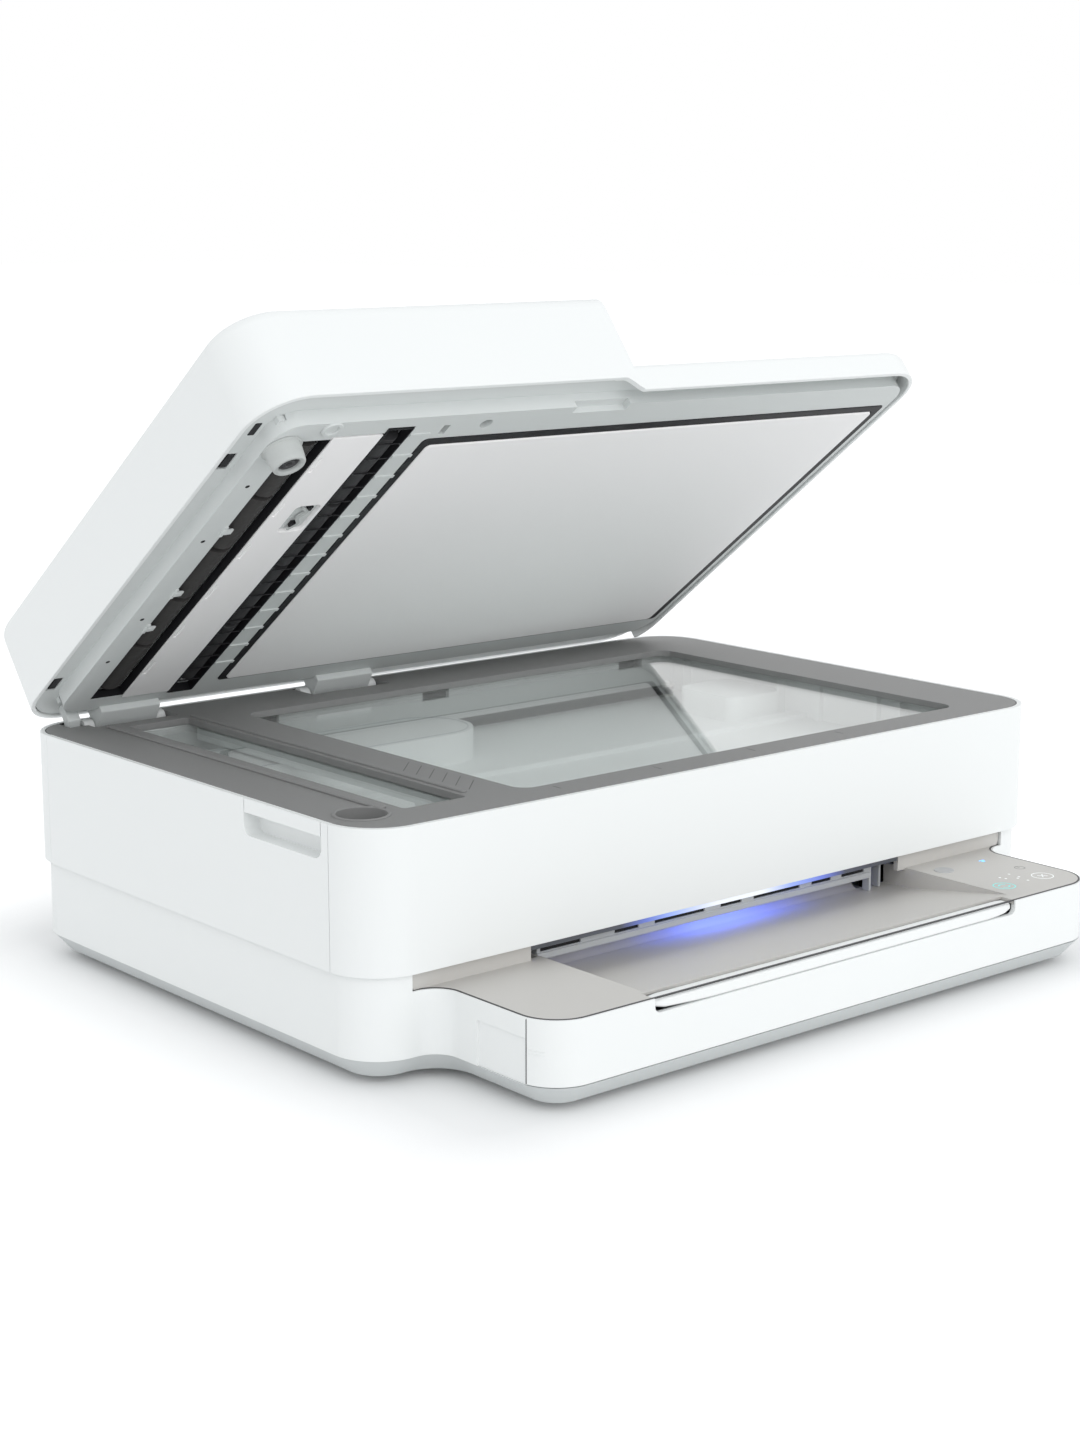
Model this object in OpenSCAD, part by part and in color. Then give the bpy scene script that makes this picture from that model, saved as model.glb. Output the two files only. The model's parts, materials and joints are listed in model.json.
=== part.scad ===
// Inkjet all-in-one printer with a lift-up scanner, a sheet feeder in its lid and a paper drawer.
// Millimetres. X is right, Y is back and Z is up; the feet stand on Z = 0.
// Inside the modules Y is counted from the front face of the upper casing.

/* [Upper casing] */
// Width over the upper casing
body_w = 432; // [424:1:440]
// Depth of the upper casing
body_d = 283; // [281:1:290]
// Height of the scanner's top face above the floor
body_top = 113.8; // [113:0.1:116]
// Height of the seam between the upper and the lower casing
seam_z = 50; // [49.5:0.1:50.5]
// Plan radius of the upper casing's corners
corner_r = 25.5; // [22:0.5:28]
// Thickness of every moulded outer wall
wall = 2.5; // [2.2:0.1:2.8]
// Gap between neighbouring casing panels
panel_gap = 0.3; // [0.2:0.05:0.5]
// Length of the front panel's side returns
front_return = 25; // [20:1:27]
// Depth of the rear panel, measured from the back
rear_return = 25; // [22:1:28]
// Radius of the rounded lower rear edge, which turns about the access hinge
barrel_r = 8; // [7.5:0.1:8.5]

/* [Lower casing] */
// How far the lower casing stands in from the upper one
base_inset = 2.5; // [2:0.1:3]
// Height of the rubber feet
foot_h = 4; // [3.5:0.1:4.5]
// Radius of a foot
foot_r = 9; // [7:0.5:11]
// Height of the bottom pan's bevelled edge
pan_h = 9; // [8.5:0.1:9.4]
// How far the bevel runs in
pan_bevel = 8; // [6:0.5:9]
// Floor thickness of the bottom pan
pan_floor = 2.5; // [2:0.1:3]
// Gap at the seam between the casings
seam_gap = 0.6; // [0.4:0.1:0.9]

/* [Front extension] */
// How far the extension stands in from the casing's sides
ext_in = 40; // [37:0.5:43]
// How far the extension stands out in front
ext_len = 70; // [67:1:72]
// Plan radius of its front corners
ext_r = 20; // [15:0.5:24]
// Radius of the hollow neck beside the extension
neck_r = 12; // [9:0.5:14]
// Height of the deck's top face
deck_z = 42; // [41.8:0.1:42.6]
// Thickness of the deck plate
deck_t = 2.4; // [2:0.1:2.6]
// Width of the white lip round the deck
lip_t = 0.9; // [0.6:0.1:1.2]
// Gap between the lip and the deck
lip_gap = 0.45; // [0.3:0.05:0.6]
// Distance of the drawer's seam in front of the front face
drawer_split = 54; // [52:0.5:56]
// Depth of the shallow grip fields beside the drawer's seam
field_t = 0.8; // [0.5:0.1:1.2]

/* [Output] */
// Left edge of the output opening
slot_x0 = -124; // [-128:1:-121]
// Right edge of the output opening
slot_x1 = 113; // [110:1:116]
// How far the pocket's floor drops towards the back
pocket_drop = 10; // [9:0.2:10.6]
// Distance of the pocket's front edge in front of the front face
pocket_len = 61; // [60:0.5:62]
// Thickness of the pocket's floor and of the extender plate
sheet_t = 1.6; // [1.4:0.1:1.8]
// Depth of the notch in the drawer's top edge
notch_h = 6.6; // [6:0.1:7]

/* [Paper drawer] */
// Room between the paper's edge and the outside of the tray
tray_room = 12; // [10.5:0.5:12.5]
// Height of the tray's side walls above its floor
tray_wall_h = 11; // [9:0.2:11.4]
// Depth of the tray behind the front face
tray_reach = 236; // [234:0.5:240]
// Thickness of the tray's floor and walls
tray_t = 2; // [1.6:0.1:2.2]
// Width of the paper between the guides
paper_w = 210; // [206:1:212]
// Pitch radius of the guides' pinion
pinion_r = 8; // [7:0.5:9]

/* [Print mechanism] */
// Module of every gear
gear_m = 1; // [0.95:0.01:1.05]
// Teeth on the feed and exit gears
roller_teeth = 36; // [34:2:36]
// Teeth on the drive pinion
drive_teeth = 22; // [20:2:22]
// Distance of the exit roller behind the front face
exit_y = 32; // [31:0.5:33]
// Height of the roller shafts
shaft_z = 36; // [35.6:0.1:36.4]
// Radius of the feed roller
feed_r = 7; // [6:0.1:7.4]
// Radius of the roller shafts
shaft_r = 3; // [2.6:0.1:3.2]
// Radius of the steel carriage rod
rod_r = 4; // [3.6:0.1:4.3]
// Running clearance on shafts, pins and the rod, on the radius
run_gap = 0.05; // [0.03:0.01:0.08]
// Width of the print carriage
carriage_w = 70; // [67:1:71]
// Distance of the carriage's rest place from the casing's right side
park_in = 68; // [66:0.5:69]
// Width of an ink cartridge
cartridge_w = 30; // [28:0.5:30.5]
// Radius of the belt pulleys
pulley_r = 6; // [5:0.2:6.4]

/* [Scanner] */
// Thickness of the bezel
bezel_t = 3.4; // [3:0.1:3.6]
// Gap between the bezel and the white casing
bezel_gap = 0.5; // [0.3:0.1:0.8]
// Distance of the flatbed opening from the casing's left side
bed_left = 102; // [100:0.5:104]
// Distance of the flatbed opening from the casing's right side
bed_right = 42; // [40:0.5:46]
// Front edge of the flatbed opening
bed_y0 = 22; // [20:0.5:24]
// Depth of the flatbed opening
bed_d = 218; // [214:1:220]
// Thickness of the flatbed glass
glass_t = 3; // [2.8:0.1:3.1]
// Distance of the feeder's scan window from the casing's left side
window_left = 41; // [40:0.5:42]
// Width of the feeder's scan window
window_w = 34; // [30:0.5:34]
// Height of the tub's underside
tub_z = 82; // [81.6:0.2:83]
// Radius of the recess that takes the lid's bumper
bumper_seat_r = 11; // [10.8:0.1:11.4]

/* [Lid] */
// Angle at which the lid stands open
lid_open = 37.45; // [25:0.05:45]
// Distance of the lid's hinge axis from the back
lid_axis_in = 8.1; // [7.8:0.1:8.6]
// Depth of the lid's hinge axis below the bezel's top
lid_axis_drop = 3.1; // [2.9:0.1:3.3]
// How far the lid's right edge stands in from the casing's side
lid_short = 26; // [24:0.5:28]
// Width of the thick part, which holds the sheet feeder
feeder_w = 209; // [206:1:214]
// Height of the thick part's top above the hinge axis
feeder_top = 56.2; // [55:0.1:57]
// Height of the thick part's lower rim above the axis
feeder_rim = 10.8; // [10.4:0.1:12]
// Height of the thin part's top above the axis
flap_top = 18.2; // [17.4:0.2:20]
// Height of the thin part's rim above the axis
flap_rim = 3.7; // [3.6:0.1:4.2]
// Height of the inner frame's underside above the axis
frame_z = 4.6; // [4.5:0.1:5]
// Thickness of the inner frame's plate
frame_t = 4.6; // [4.4:0.1:4.9]
// How far the inner frame stands in from the lid's edge
frame_in = 12; // [10:0.5:12.5]
// Radius of the feeder's sheet roller
sheet_roller_r = 9; // [8:0.1:9.2]
// Radius of the lid's rubber bumper
bumper_r = 9.5; // [8.5:0.1:10]

/* [Hidden] */
$fn = 72;
eps = 0.01;

// Casing
hw = body_w / 2;
base_hw = hw - base_inset;
base_y1 = body_d - base_inset;
base_r = corner_r - base_inset;
pan_top = foot_h + pan_h;
pan_in = foot_h + pan_floor;
access_y = body_d - barrel_r;
access_z = seam_z + barrel_r;
ear_r = 4.5;
inlet_x = -hw + 58;
port_x = hw - 96;
power_x = hw - 54;
wireless_x = hw - 72;
pin_r = 2.5;

// Front extension
ext_hw = hw - ext_in;
deck_in = lip_t + lip_gap;
deck_under = deck_z - deck_t;
strip_hw = ext_hw + neck_r + 2;
strip_y0 = 4;
strip_y1 = 7;
pocket_x0 = slot_x0 + 7.5;
pocket_x1 = slot_x1 + 5;
pocket_z = deck_z - pocket_drop;
slope = atan(pocket_drop / pocket_len);
windows = [[slot_x0 + 9.5, -90.9], [-70.6, -56], [-46, -14.5], [-4.1, 9.6], [17.6, 48.8], [57, 70.5],
    [78, slot_x1 - 19]];
notch_x0 = slot_x0 + 5;
notch_x1 = slot_x1;
notch_z = deck_z - notch_h;

// Drawer
tray_hw = paper_w / 2 + tray_room;
tray_z = pan_top + 0.5;
tray_floor_z = tray_z + tray_t;
guide_z = tray_floor_z + 0.5;
pinion_y = 110;
rack_teeth = 20;

// Rollers
gear_r = gear_m * roller_teeth / 2;
drive_r = gear_m * drive_teeth / 2;
drive_y = exit_y + gear_r + drive_r;
feed_y = exit_y + 2 * (gear_r + drive_r);
gear_x = -hw + 40;
gear_w = 5;
cheek_x0 = -hw + 48;
cheek_x1 = hw - 26;
cheek_t = 1.5;

// Carriage
rod_y = feed_y + 14;
rod_z = shaft_z + 20;
beam_y = rod_y + 16;
park_x = hw - park_in;
station_x0 = park_x - 24;
station_z = tray_floor_z + tray_wall_h + 1.5;
carriage_z0 = shaft_z + 11;
carriage_z1 = tub_z - 6;
carriage_y0 = exit_y + 6;
belt_y = beam_y - 8;
belt_z = rod_z + 8;
belt_t = 1;
belt_gap = 0.3;
pulley_x0 = cheek_x0 + 12;
pulley_x1 = cheek_x1 - 12;
pick_y = beam_y + 30;
pick_z = shaft_z + 8;
pick_len = 48;
pick_drop = 14;
pick_r = 10;
tray_lip = pick_z - pick_drop - pick_r - 0.5;

// Scanner
bezel_z = body_top - bezel_t;
tub_x0 = -hw + 18;
tub_x1 = hw - 24;
tub_y0 = 14;
tub_y1 = 252;
tub_t = 2.2;
tub_floor = tub_z + 2.4;
rail_y = 60;
rail_top = tub_floor + 5;
dome_top = tub_floor + 15.6;
bar_z = dome_top + 1;
grip_y0 = 30;
grip_y1 = 87.5;
grip_z0 = body_top - 16.3;
lip_z = body_top - 6.3;
grip_depth = 8;
bumper_x = -hw + 21;
bed_x0 = -hw + bed_left;
bed_x1 = hw - bed_right;
window_x0 = -hw + window_left;
seat_wall = 0.8;
bumper_y = 30;

// Lid
axis_y = body_d - lid_axis_in;
axis_z = body_top - lid_axis_drop;
step_x = feeder_w - hw;
top_fillet = 6;
step_r = 3;
flap_fillet = 4;
frame_top = frame_z + frame_t;
flange_z = feeder_rim + 1.2;
flange_t = 1.8;
flange_in = wall + 0.3;
lid_x1 = hw - lid_short;
frame_right = lid_x1 - 4;
frame_back = body_d - 18;
arm_w = [[-hw + 35, -hw + 69], [-hw + 165, -hw + 201]];
arm_r = 5.4;
arm_pin_r = 2;
arm_ear = 5.5;
arm_gap = 0.6;
door_axis_x = -hw + 17;
door_axis_z = feeder_top - 6.5;
door_pin_r = 1.5;
door_y0 = 22;
door_y1 = frame_back - 8;
door_x1 = step_x - 92;
tray_deck = feeder_top - 12;
sheet_mid = (door_y0 + door_y1) / 2;
guide_room = 11.2;
sheet_w = door_y1 - door_y0 - 2 * guide_room;
post_y = [frame_in + 4, frame_back - 5.5];
sheet_roller_x = -hw + 35;
exit_roller_x = -hw + 79;
pick_roller_r = 9;
pick_roller_x = door_x1 - pick_roller_r - 6;
sheet_roller_z = frame_z + sheet_roller_r + 0.5;
exit_roller_r = 7;
exit_roller_z = frame_z + exit_roller_r + 0.2;
pick_roller_z = tray_deck - 9.5;
plate_x0 = sheet_roller_x + 9.6;
plate_x1 = exit_roller_x - 7.6;
seat_floor = bezel_z - 4.9;
bumper_h = frame_z + axis_z - seat_floor - 0.2;

// Middle of the model's depth: the lid's open tail to the front of the extension
tail_y = axis_y + lid_axis_in * cos(lid_open) + feeder_top * sin(lid_open);
tail_cut = step_r * cos(lid_open) + top_fillet * sin(lid_open)
    - sqrt(pow(step_r * cos(lid_open), 2) + pow(top_fillet * sin(lid_open), 2));
mid_y = (tail_y - tail_cut - ext_len) / 2;

// ---- Frames ----

// Puts a piece, drawn from the casing's front face, about the model's middle
module in_body() {
    translate([0, -mid_y, 0]) children();
}

// The same for a piece of the lid, drawn closed and with Z from the hinge axis
module in_lid() {
    translate([0, axis_y - mid_y, axis_z])
        rotate([-lid_open, 0, 0])
            translate([0, -axis_y, 0]) children();
}

// ---- Shared shapes ----

module round_rect(x0, y0, x1, y1, r) {
    translate([x0 + r, y0]) square([x1 - x0 - 2 * r, y1 - y0]);
    translate([x0, y0 + r]) square([x1 - x0, y1 - y0 - 2 * r]);
    for (x = [x0 + r, x1 - r], y = [y0 + r, y1 - r]) translate([x, y]) circle(r);
}

// A block between two corners
module block(x0, y0, z0, x1, y1, z1) {
    translate([x0, y0, z0]) cube([x1 - x0, y1 - y0, z1 - z0]);
}

// A plate with rounded plan corners
module plate(x0, y0, x1, y1, r, z0, z1) {
    translate([0, 0, z0]) linear_extrude(z1 - z0) round_rect(x0, y0, x1, y1, r);
}

// A round bar along X
module bar_x(x0, x1, y, z, r) {
    translate([x0, y, z]) rotate([0, 90, 0]) cylinder(h = x1 - x0, r = r);
}

// A round bar along Y
module bar_y(y0, y1, x, z, r) {
    translate([x, y0, z]) rotate([-90, 0, 0]) cylinder(h = y1 - y0, r = r);
}

// A profile drawn in Y and Z, pulled along X
module along_x(x0, x1) {
    translate([x0, 0, 0]) rotate([90, 0, 90]) linear_extrude(x1 - x0) children();
}

// A profile drawn in X and Z, pulled along Y
module along_y(y0, y1) {
    translate([0, y1, 0]) rotate([90, 0, 0]) linear_extrude(y1 - y0) children();
}

// A straight-flanked tooth, standing on a circle of radius r
module tooth(r, m) {
    half = 0.21 * PI * m;
    flank = tan(20) * m;
    polygon([[r - 1.15 * m, -half - 1.1 * flank], [r + 0.8 * m, -half + 0.8 * flank],
        [r + 0.8 * m, half - 0.8 * flank], [r - 1.15 * m, half + 1.1 * flank]]);
}

// A spur gear of pitch radius r; shift turns it by a share of a tooth
module gear(teeth, m, shift = 0) {
    r = m * teeth / 2;
    circle(r - 1.1 * m);
    for (i = [0 : teeth - 1]) rotate((i + shift) * 360 / teeth) tooth(r, m);
}

// Plan of the upper casing, moved in by inset
module casing_plan(inset) {
    round_rect(-hw + inset, inset, hw - inset, body_d - inset, corner_r - inset);
}

// Plan of the lower casing with its front extension and hollow necks
module base_plan(inset) {
    round_rect(-base_hw + inset, base_inset + inset, base_hw - inset, base_y1 - inset, base_r - inset);
    round_rect(-ext_hw + inset, inset - ext_len, ext_hw - inset, base_inset + 40, ext_r - inset);
    for (s = [0, 1]) mirror([s, 0]) difference() {
        translate([ext_hw - inset - 1, base_inset - neck_r]) square([neck_r + inset + 1, neck_r + inset + 1]);
        translate([ext_hw + neck_r, base_inset - neck_r]) circle(neck_r + inset);
    }
}

// ---- Lower casing ----

module bevelled_slab(x0, y0, x1, y1, r) {
    hull() {
        plate(x0 + pan_bevel, y0 + pan_bevel, x1 - pan_bevel, y1 - pan_bevel, r - pan_bevel,
            foot_h, foot_h + eps, $fn = 48);
        plate(x0, y0, x1, y1, r, pan_top - eps, pan_top, $fn = 48);
    }
}

module base_pan() color("lightgray") in_body() {
    difference() {
        union() {
            bevelled_slab(-base_hw, base_inset, base_hw, base_y1, base_r);
            bevelled_slab(-ext_hw, -ext_len, ext_hw, base_inset + 40, ext_r);
            for (s = [0, 1]) mirror([s, 0, 0]) difference() {
                block(ext_hw - pan_bevel - 1, base_inset - neck_r, foot_h,
                    ext_hw + neck_r, base_inset + pan_bevel + 1, pan_top);
                translate([ext_hw + neck_r, base_inset - neck_r, foot_h - eps])
                    cylinder(h = pan_h + 2 * eps, r1 = neck_r + pan_bevel, r2 = neck_r);
            }
        }
        translate([0, 0, pan_in]) linear_extrude(pan_h) base_plan(pan_bevel + wall);
    }
    // Runners that carry the drawer
    for (x = [-100, 100]) block(x - 2, 20 - ext_len, pan_in - eps, x + 2, tray_reach, pan_top + 0.2);
}

module rear_vents() {
    for (i = [0 : 11]) block(-60 + 8 * i, base_y1 - wall - 1, 20, -56 + 8 * i, base_y1 + 1, 38);
}

module lower_casing() color("whitesmoke") in_body() {
    difference() {
        translate([0, 0, pan_top]) linear_extrude(seam_z - seam_gap - pan_top) difference() {
            base_plan(0);
            base_plan(wall);
        }
        // The drawer's front takes the place of the extension's front
        block(-hw, -ext_len - 1, pan_top - 1, hw, -drawer_split, seam_z);
        // A rabbet carries the deck, and the deck's back strip replaces the wall above it
        translate([0, 0, deck_under]) linear_extrude(seam_z) intersection() {
            base_plan(lip_t);
            translate([-strip_hw, -ext_len]) square([2 * strip_hw, ext_len + strip_y1 + 1]);
        }
        block(-strip_hw, -ext_len, deck_z - 0.2, strip_hw, strip_y1 + 1, seam_z);
        // Shallow grip fields beside the drawer's seam
        for (s = [-1, 1]) translate([s * ext_hw, 0, 0])
            block(-field_t, -drawer_split - 1, pan_top - 1, field_t, -23, 33);
        rear_vents();
        block(inlet_x - 11, base_y1 - wall - 1, 17, inlet_x + 11, base_y1 + 1, 33);
        block(port_x - 6.5, base_y1 - wall - 1, 19.5, port_x + 6.5, base_y1 + 1, 31.5);
        bar_y(base_y1 - wall - 1, base_y1 + 1, power_x, 26, 6);
        bar_y(base_y1 - wall - 1, base_y1 + 1, wireless_x, 26, 4.8);
    }
    // Posts with pins for the access hinge
    for (s = [0, 1]) mirror([s, 0, 0]) {
        block(hw - 40, access_y - ear_r, pan_top, hw - 30, base_y1 - wall + eps, seam_z - seam_gap);
        block(hw - 40, access_y - ear_r, seam_z - 1, hw - 30, access_y + 0.8, access_z);
        bar_x(hw - 40, hw - 30, access_y, access_z, ear_r);
        bar_x(hw - 31, hw - 21, access_y, access_z, pin_r);
    }
}

module rubber_feet() color("dimgray") in_body() {
    for (s = [-1, 1], p = [[hw - 38, 36], [hw - 38, body_d - 31], [ext_hw - 38, 28 - ext_len]])
        translate([s * p[0], p[1], 0]) {
            cylinder(h = 1, r1 = foot_r - 1, r2 = foot_r);
            translate([0, 0, 1]) cylinder(h = foot_h - 1, r = foot_r);
        }
}

// Outline of the deck's back strip, with rounded lower ends
module strip_face(x0, x1, left_round, right_round) {
    r = 4;
    z0 = deck_z - 1;
    z1 = seam_z - seam_gap;
    difference() {
        translate([x0, z0]) square([x1 - x0, z1 - z0]);
        if (left_round) difference() {
            translate([x0 - 1, z0 - 1]) square([r + 1, r + 1]);
            translate([x0 + r, z0 + r]) circle(r);
        }
        if (right_round) difference() {
            translate([x1 - r, z0 - 1]) square([r + 1, r + 1]);
            translate([x1 - r, z0 + r]) circle(r);
        }
    }
}

module output_deck() color("silver") in_body() {
    edge = strip_hw - 0.4;
    difference() {
        translate([0, 0, deck_under + 0.1]) linear_extrude(deck_t - 0.1) intersection() {
            base_plan(deck_in);
            translate([-edge, -ext_len]) square([2 * edge, ext_len + strip_y1]);
        }
        // Pocket for the printed sheets
        block(pocket_x0, -pocket_len, deck_under - 1, pocket_x1, strip_y1 + 1, deck_z + 1);
        // Room for the extender's grip bar
        block(notch_x0, -ext_len, deck_under - 1, notch_x1, -pocket_len, deck_z + 1);
    }
    along_y(strip_y0, strip_y1) strip_face(-edge, slot_x0, true, false);
    along_y(strip_y0, strip_y1) strip_face(slot_x1, edge, false, true);
    // Sloping pocket floor, which runs on under the casing
    along_x(pocket_x0 - sheet_t, pocket_x1 + sheet_t) polygon([[-pocket_len, deck_z],
        [0, pocket_z], [18, pocket_z], [18, pocket_z - sheet_t], [0, pocket_z - sheet_t],
        [-pocket_len, deck_z - sheet_t]]);
    for (x = [pocket_x0 - sheet_t, pocket_x1]) along_x(x, x + sheet_t)
        polygon([[-pocket_len, deck_z - 0.5], [0, pocket_z - 0.5], [18, pocket_z - 0.5],
            [18, deck_z], [-pocket_len, deck_z]]);
}

module edge_light_bar() color("lightsteelblue") in_body() {
    plate(slot_x0, strip_y0, slot_x1, strip_y1 - 0.4, 0.6, seam_z - 3.6, seam_z - seam_gap);
}

// Rail with windows, tabs and ribs, over which the sheets leave
module exit_guide() color("gainsboro") in_body() {
    x0 = pocket_x0;
    x1 = pocket_x1 - 20;
    z0 = pocket_z + 6.8;
    z1 = seam_z - 4;
    difference() {
        along_x(x0, x1) polygon([[8.5, z0], [8.5, z1 - 3.4], [9.2, z1 - 3], [9.2, z1], [13, z1], [13, z0]]);
        for (w = windows) block(w[0], 8, z1 - 2.6, w[1], 12.2, z1 - 0.6);
    }
    // Tabs between the windows
    for (i = [1 : len(windows) - 1]) along_x(windows[i - 1][1] + 1.2, windows[i][0] - 1.2)
        polygon([[12.9, z1 - 0.8], [12.9, z1 - 2.6], [21, z1 - 4], [23, z1 - 5], [23, z1 - 4],
            [21.2, z1 - 1.8]]);
    for (x = [x0, x1 - 6]) block(x, 9.4, pocket_z, x + 6, 12.8, z0 + eps);
    // Bracket at the right end
    difference() {
        block(x1 + 4, 9, pocket_z, x1 + 16, 20, z1 - 1);
        block(x1 + 6, 8, pocket_z + 2, x1 + 18, 18, z1);
    }
}

// ---- Paper drawer ----

module drawer_front() {
    difference() {
        translate([0, 0, pan_top + 0.4]) linear_extrude(deck_z - 0.2 - pan_top - 0.4) difference() {
            base_plan(0);
            base_plan(wall);
        }
        block(-hw, -drawer_split - panel_gap, 0, hw, body_d, seam_z);
        // Rabbet under the deck's edge
        translate([0, 0, deck_under]) linear_extrude(10) base_plan(lip_t);
        // Notch for the extender, with rounded lower corners
        along_y(-ext_len - 1, -drawer_split) {
            translate([notch_x0, notch_z + 3]) square([notch_x1 - notch_x0, 20]);
            round_rect(notch_x0, notch_z, notch_x1, notch_z + 12, 3);
        }
    }
}

module paper_tray() color("white") in_body() {
    difference() {
        union() {
            drawer_front();
            // Tray floor, joined to the front
            block(-tray_hw, -ext_len + 1, tray_z, tray_hw, tray_reach, tray_floor_z);
            translate([0, 0, tray_z]) linear_extrude(tray_t) intersection() {
                base_plan(wall - 0.5);
                translate([-hw, -ext_len]) square([body_w, ext_len - drawer_split - panel_gap]);
            }
            for (x = [-tray_hw, tray_hw - tray_t])
                block(x, -ext_len + 1, tray_z, x + tray_t, tray_reach, tray_floor_z + tray_wall_h);
            along_x(-tray_hw, tray_hw) polygon([[tray_reach - 8, tray_floor_z - eps],
                [tray_reach - 3, tray_lip], [tray_reach, tray_lip],
                [tray_reach, tray_floor_z - eps]]);
        }
        // Slots that lighten the floor behind the guides
        for (x = [-80, -40, 0, 40, 80])
            plate(x - 12, 166, x + 12, 176, 4, tray_z - 1, tray_floor_z + 1);
    }
    translate([0, pinion_y, tray_floor_z - eps]) cylinder(h = 3, r = pin_r);
}

// Guide on the left; the right one is its mirror image
module width_guide(rack_side) {
    wall_x = -paper_w / 2 - 3;
    bar_in = pinion_r + 1.1;
    y0 = rack_side > 0 ? pinion_y + bar_in : pinion_y - bar_in - 4;
    block(wall_x, 70, guide_z + 2.4, wall_x + 2.4, 152, guide_z + 10.4);
    block(wall_x, y0, guide_z, wall_x + 2.4, y0 + 4, guide_z + 3);
    block(wall_x, y0, guide_z, 6, y0 + 4, guide_z + 1.8);
    translate([0, pinion_y, guide_z]) linear_extrude(1.8) for (i = [0 : rack_teeth - 1])
        translate([(0.5 - i) * PI, 0]) rotate(90 * rack_side) translate([2 * pinion_r, 0])
            mirror([1, 0]) tooth(pinion_r, 1);
}

module left_width_guide() color("gainsboro") in_body() width_guide(1);

module right_width_guide() color("gainsboro") in_body() mirror([1, 0, 0]) width_guide(-1);

module guide_pinion() color("silver") in_body() {
    translate([0, pinion_y, guide_z]) linear_extrude(1.8) difference() {
        gear(2 * pinion_r, 1);
        circle(pin_r + run_gap);
    }
}

module length_guide() color("gainsboro") in_body() {
    y0 = 6 - ext_len;
    block(-18, y0, guide_z, 18, y0 + 22, guide_z + 1.6);
    difference() {
        block(-18, y0, guide_z, 18, y0 + 3, guide_z + tray_wall_h - 1);
        block(-10, y0 - 1, guide_z + 4, 10, y0 + 4, guide_z + tray_wall_h - 3.5);
    }
}

// Sheet extender, which slides out along the pocket's slope
module tray_extender() color("white") in_body() {
    plate(notch_x0 + 1.4, 0.2 - ext_len, notch_x1 - 1.4, -pocket_len - 1.2, 2.5, notch_z + 0.5, deck_z - 0.9);
    translate([0, -pocket_len, deck_z]) rotate([-slope, 0, 0]) difference() {
        plate(-100, -3, 96, pocket_len - 4, 3, -2 * sheet_t - 0.7, -sheet_t - 0.7);
        for (x = [-60, 0, 60]) plate(x - 16, 20, x + 16, 26, 2.9, -9, 9);
    }
}

// ---- Print mechanism ----

module print_frame() color("darkgray") in_body() {
    top = tub_z - 3;
    difference() {
        union() {
            for (x = [cheek_x0, cheek_x1]) along_x(x, x + cheek_t) polygon([[exit_y - 10, pan_in],
                [exit_y - 10, shaft_z + 12], [rod_y - 14, top], [beam_y + 24, top],
                [beam_y + 24, pan_in]]);
            block(cheek_x0, beam_y, carriage_z0, cheek_x1 + cheek_t, beam_y + 1.2, top);
            block(cheek_x0, beam_y - 6, top - 1.2, cheek_x1 + cheek_t, beam_y + 1.2, top);
            // Ears of the pick arm's shaft
            for (x = [-28, 25]) along_x(x, x + 3) {
                translate([pick_y, pick_z]) circle(7);
                translate([beam_y, pick_z - 2]) square([30, 9]);
            }
        }
        for (x = [cheek_x0, cheek_x1]) {
            bar_x(x - 1, x + 3, exit_y, shaft_z, shaft_r + run_gap);
            bar_x(x - 1, x + 3, feed_y, shaft_z, shaft_r + run_gap);
            bar_x(x - 1, x + 3, rod_y, rod_z, rod_r);
        }
        bar_x(cheek_x0 - 1, cheek_x0 + 3, drive_y, shaft_z, 4);
        bar_x(-30, 30, pick_y, pick_z, shaft_r + run_gap);
        for (x = [pulley_x0, pulley_x1]) bar_y(beam_y - 1, beam_y + 3, x, belt_z, 2);
        // Lightening windows in the beam
        for (i = [0 : 5]) plate_window(cheek_x0 + 40 + i * (cheek_x1 - cheek_x0 - 98) / 5);
    }
}

module plate_window(x) {
    along_y(beam_y - 1, beam_y + 3) round_rect(x, carriage_z0 + 8, x + 30, carriage_z0 + 18, 4);
}

module carriage_rod() color("lightgray") in_body() bar_x(cheek_x0, cheek_x1 + cheek_t, rod_y, rod_z, rod_r);

module belt_loop(r) {
    for (x = [pulley_x0, pulley_x1]) translate([x, belt_z]) circle(r);
    translate([pulley_x0, belt_z - r]) square([pulley_x1 - pulley_x0, 2 * r]);
}

module carriage_belt() color("dimgray") in_body() along_y(belt_y + 1, belt_y + 5) difference() {
    belt_loop(pulley_r + belt_gap + belt_t);
    belt_loop(pulley_r + belt_gap);
}

module belt_pulley(x) {
    difference() {
        union() {
            bar_y(belt_y + 0.6, belt_y + 5.4, x, belt_z, pulley_r);
            bar_y(belt_y - 0.6, belt_y + 0.6, x, belt_z, pulley_r + 1);
            bar_y(belt_y + 5.4, belt_y + 6.6, x, belt_z, pulley_r + 1);
        }
        bar_y(belt_y - 1, belt_y + 7, x, belt_z, 1.5 + run_gap);
    }
}

module drive_pulley() color("lightgray") in_body() belt_pulley(pulley_x1);

module idler_pulley() color("lightgray") in_body() belt_pulley(pulley_x0);

// Motor can behind the beam, with the shafts of both pulleys
module carriage_motor() color("gray") in_body() {
    y0 = beam_y + 1.2;
    bar_y(y0, y0 + 22, pulley_x1 - 6, belt_z - 6, 12);
    bar_y(y0 + 22, y0 + 24, pulley_x1 - 6, belt_z - 6, 4);
    bar_y(belt_y - 1.5, y0 + 3, pulley_x1, belt_z, 1.5);
    bar_y(belt_y - 1.5, y0 + 3, pulley_x0, belt_z, 1.5);
    bar_y(y0, y0 + 3, pulley_x0, belt_z, 5);
}

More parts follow.
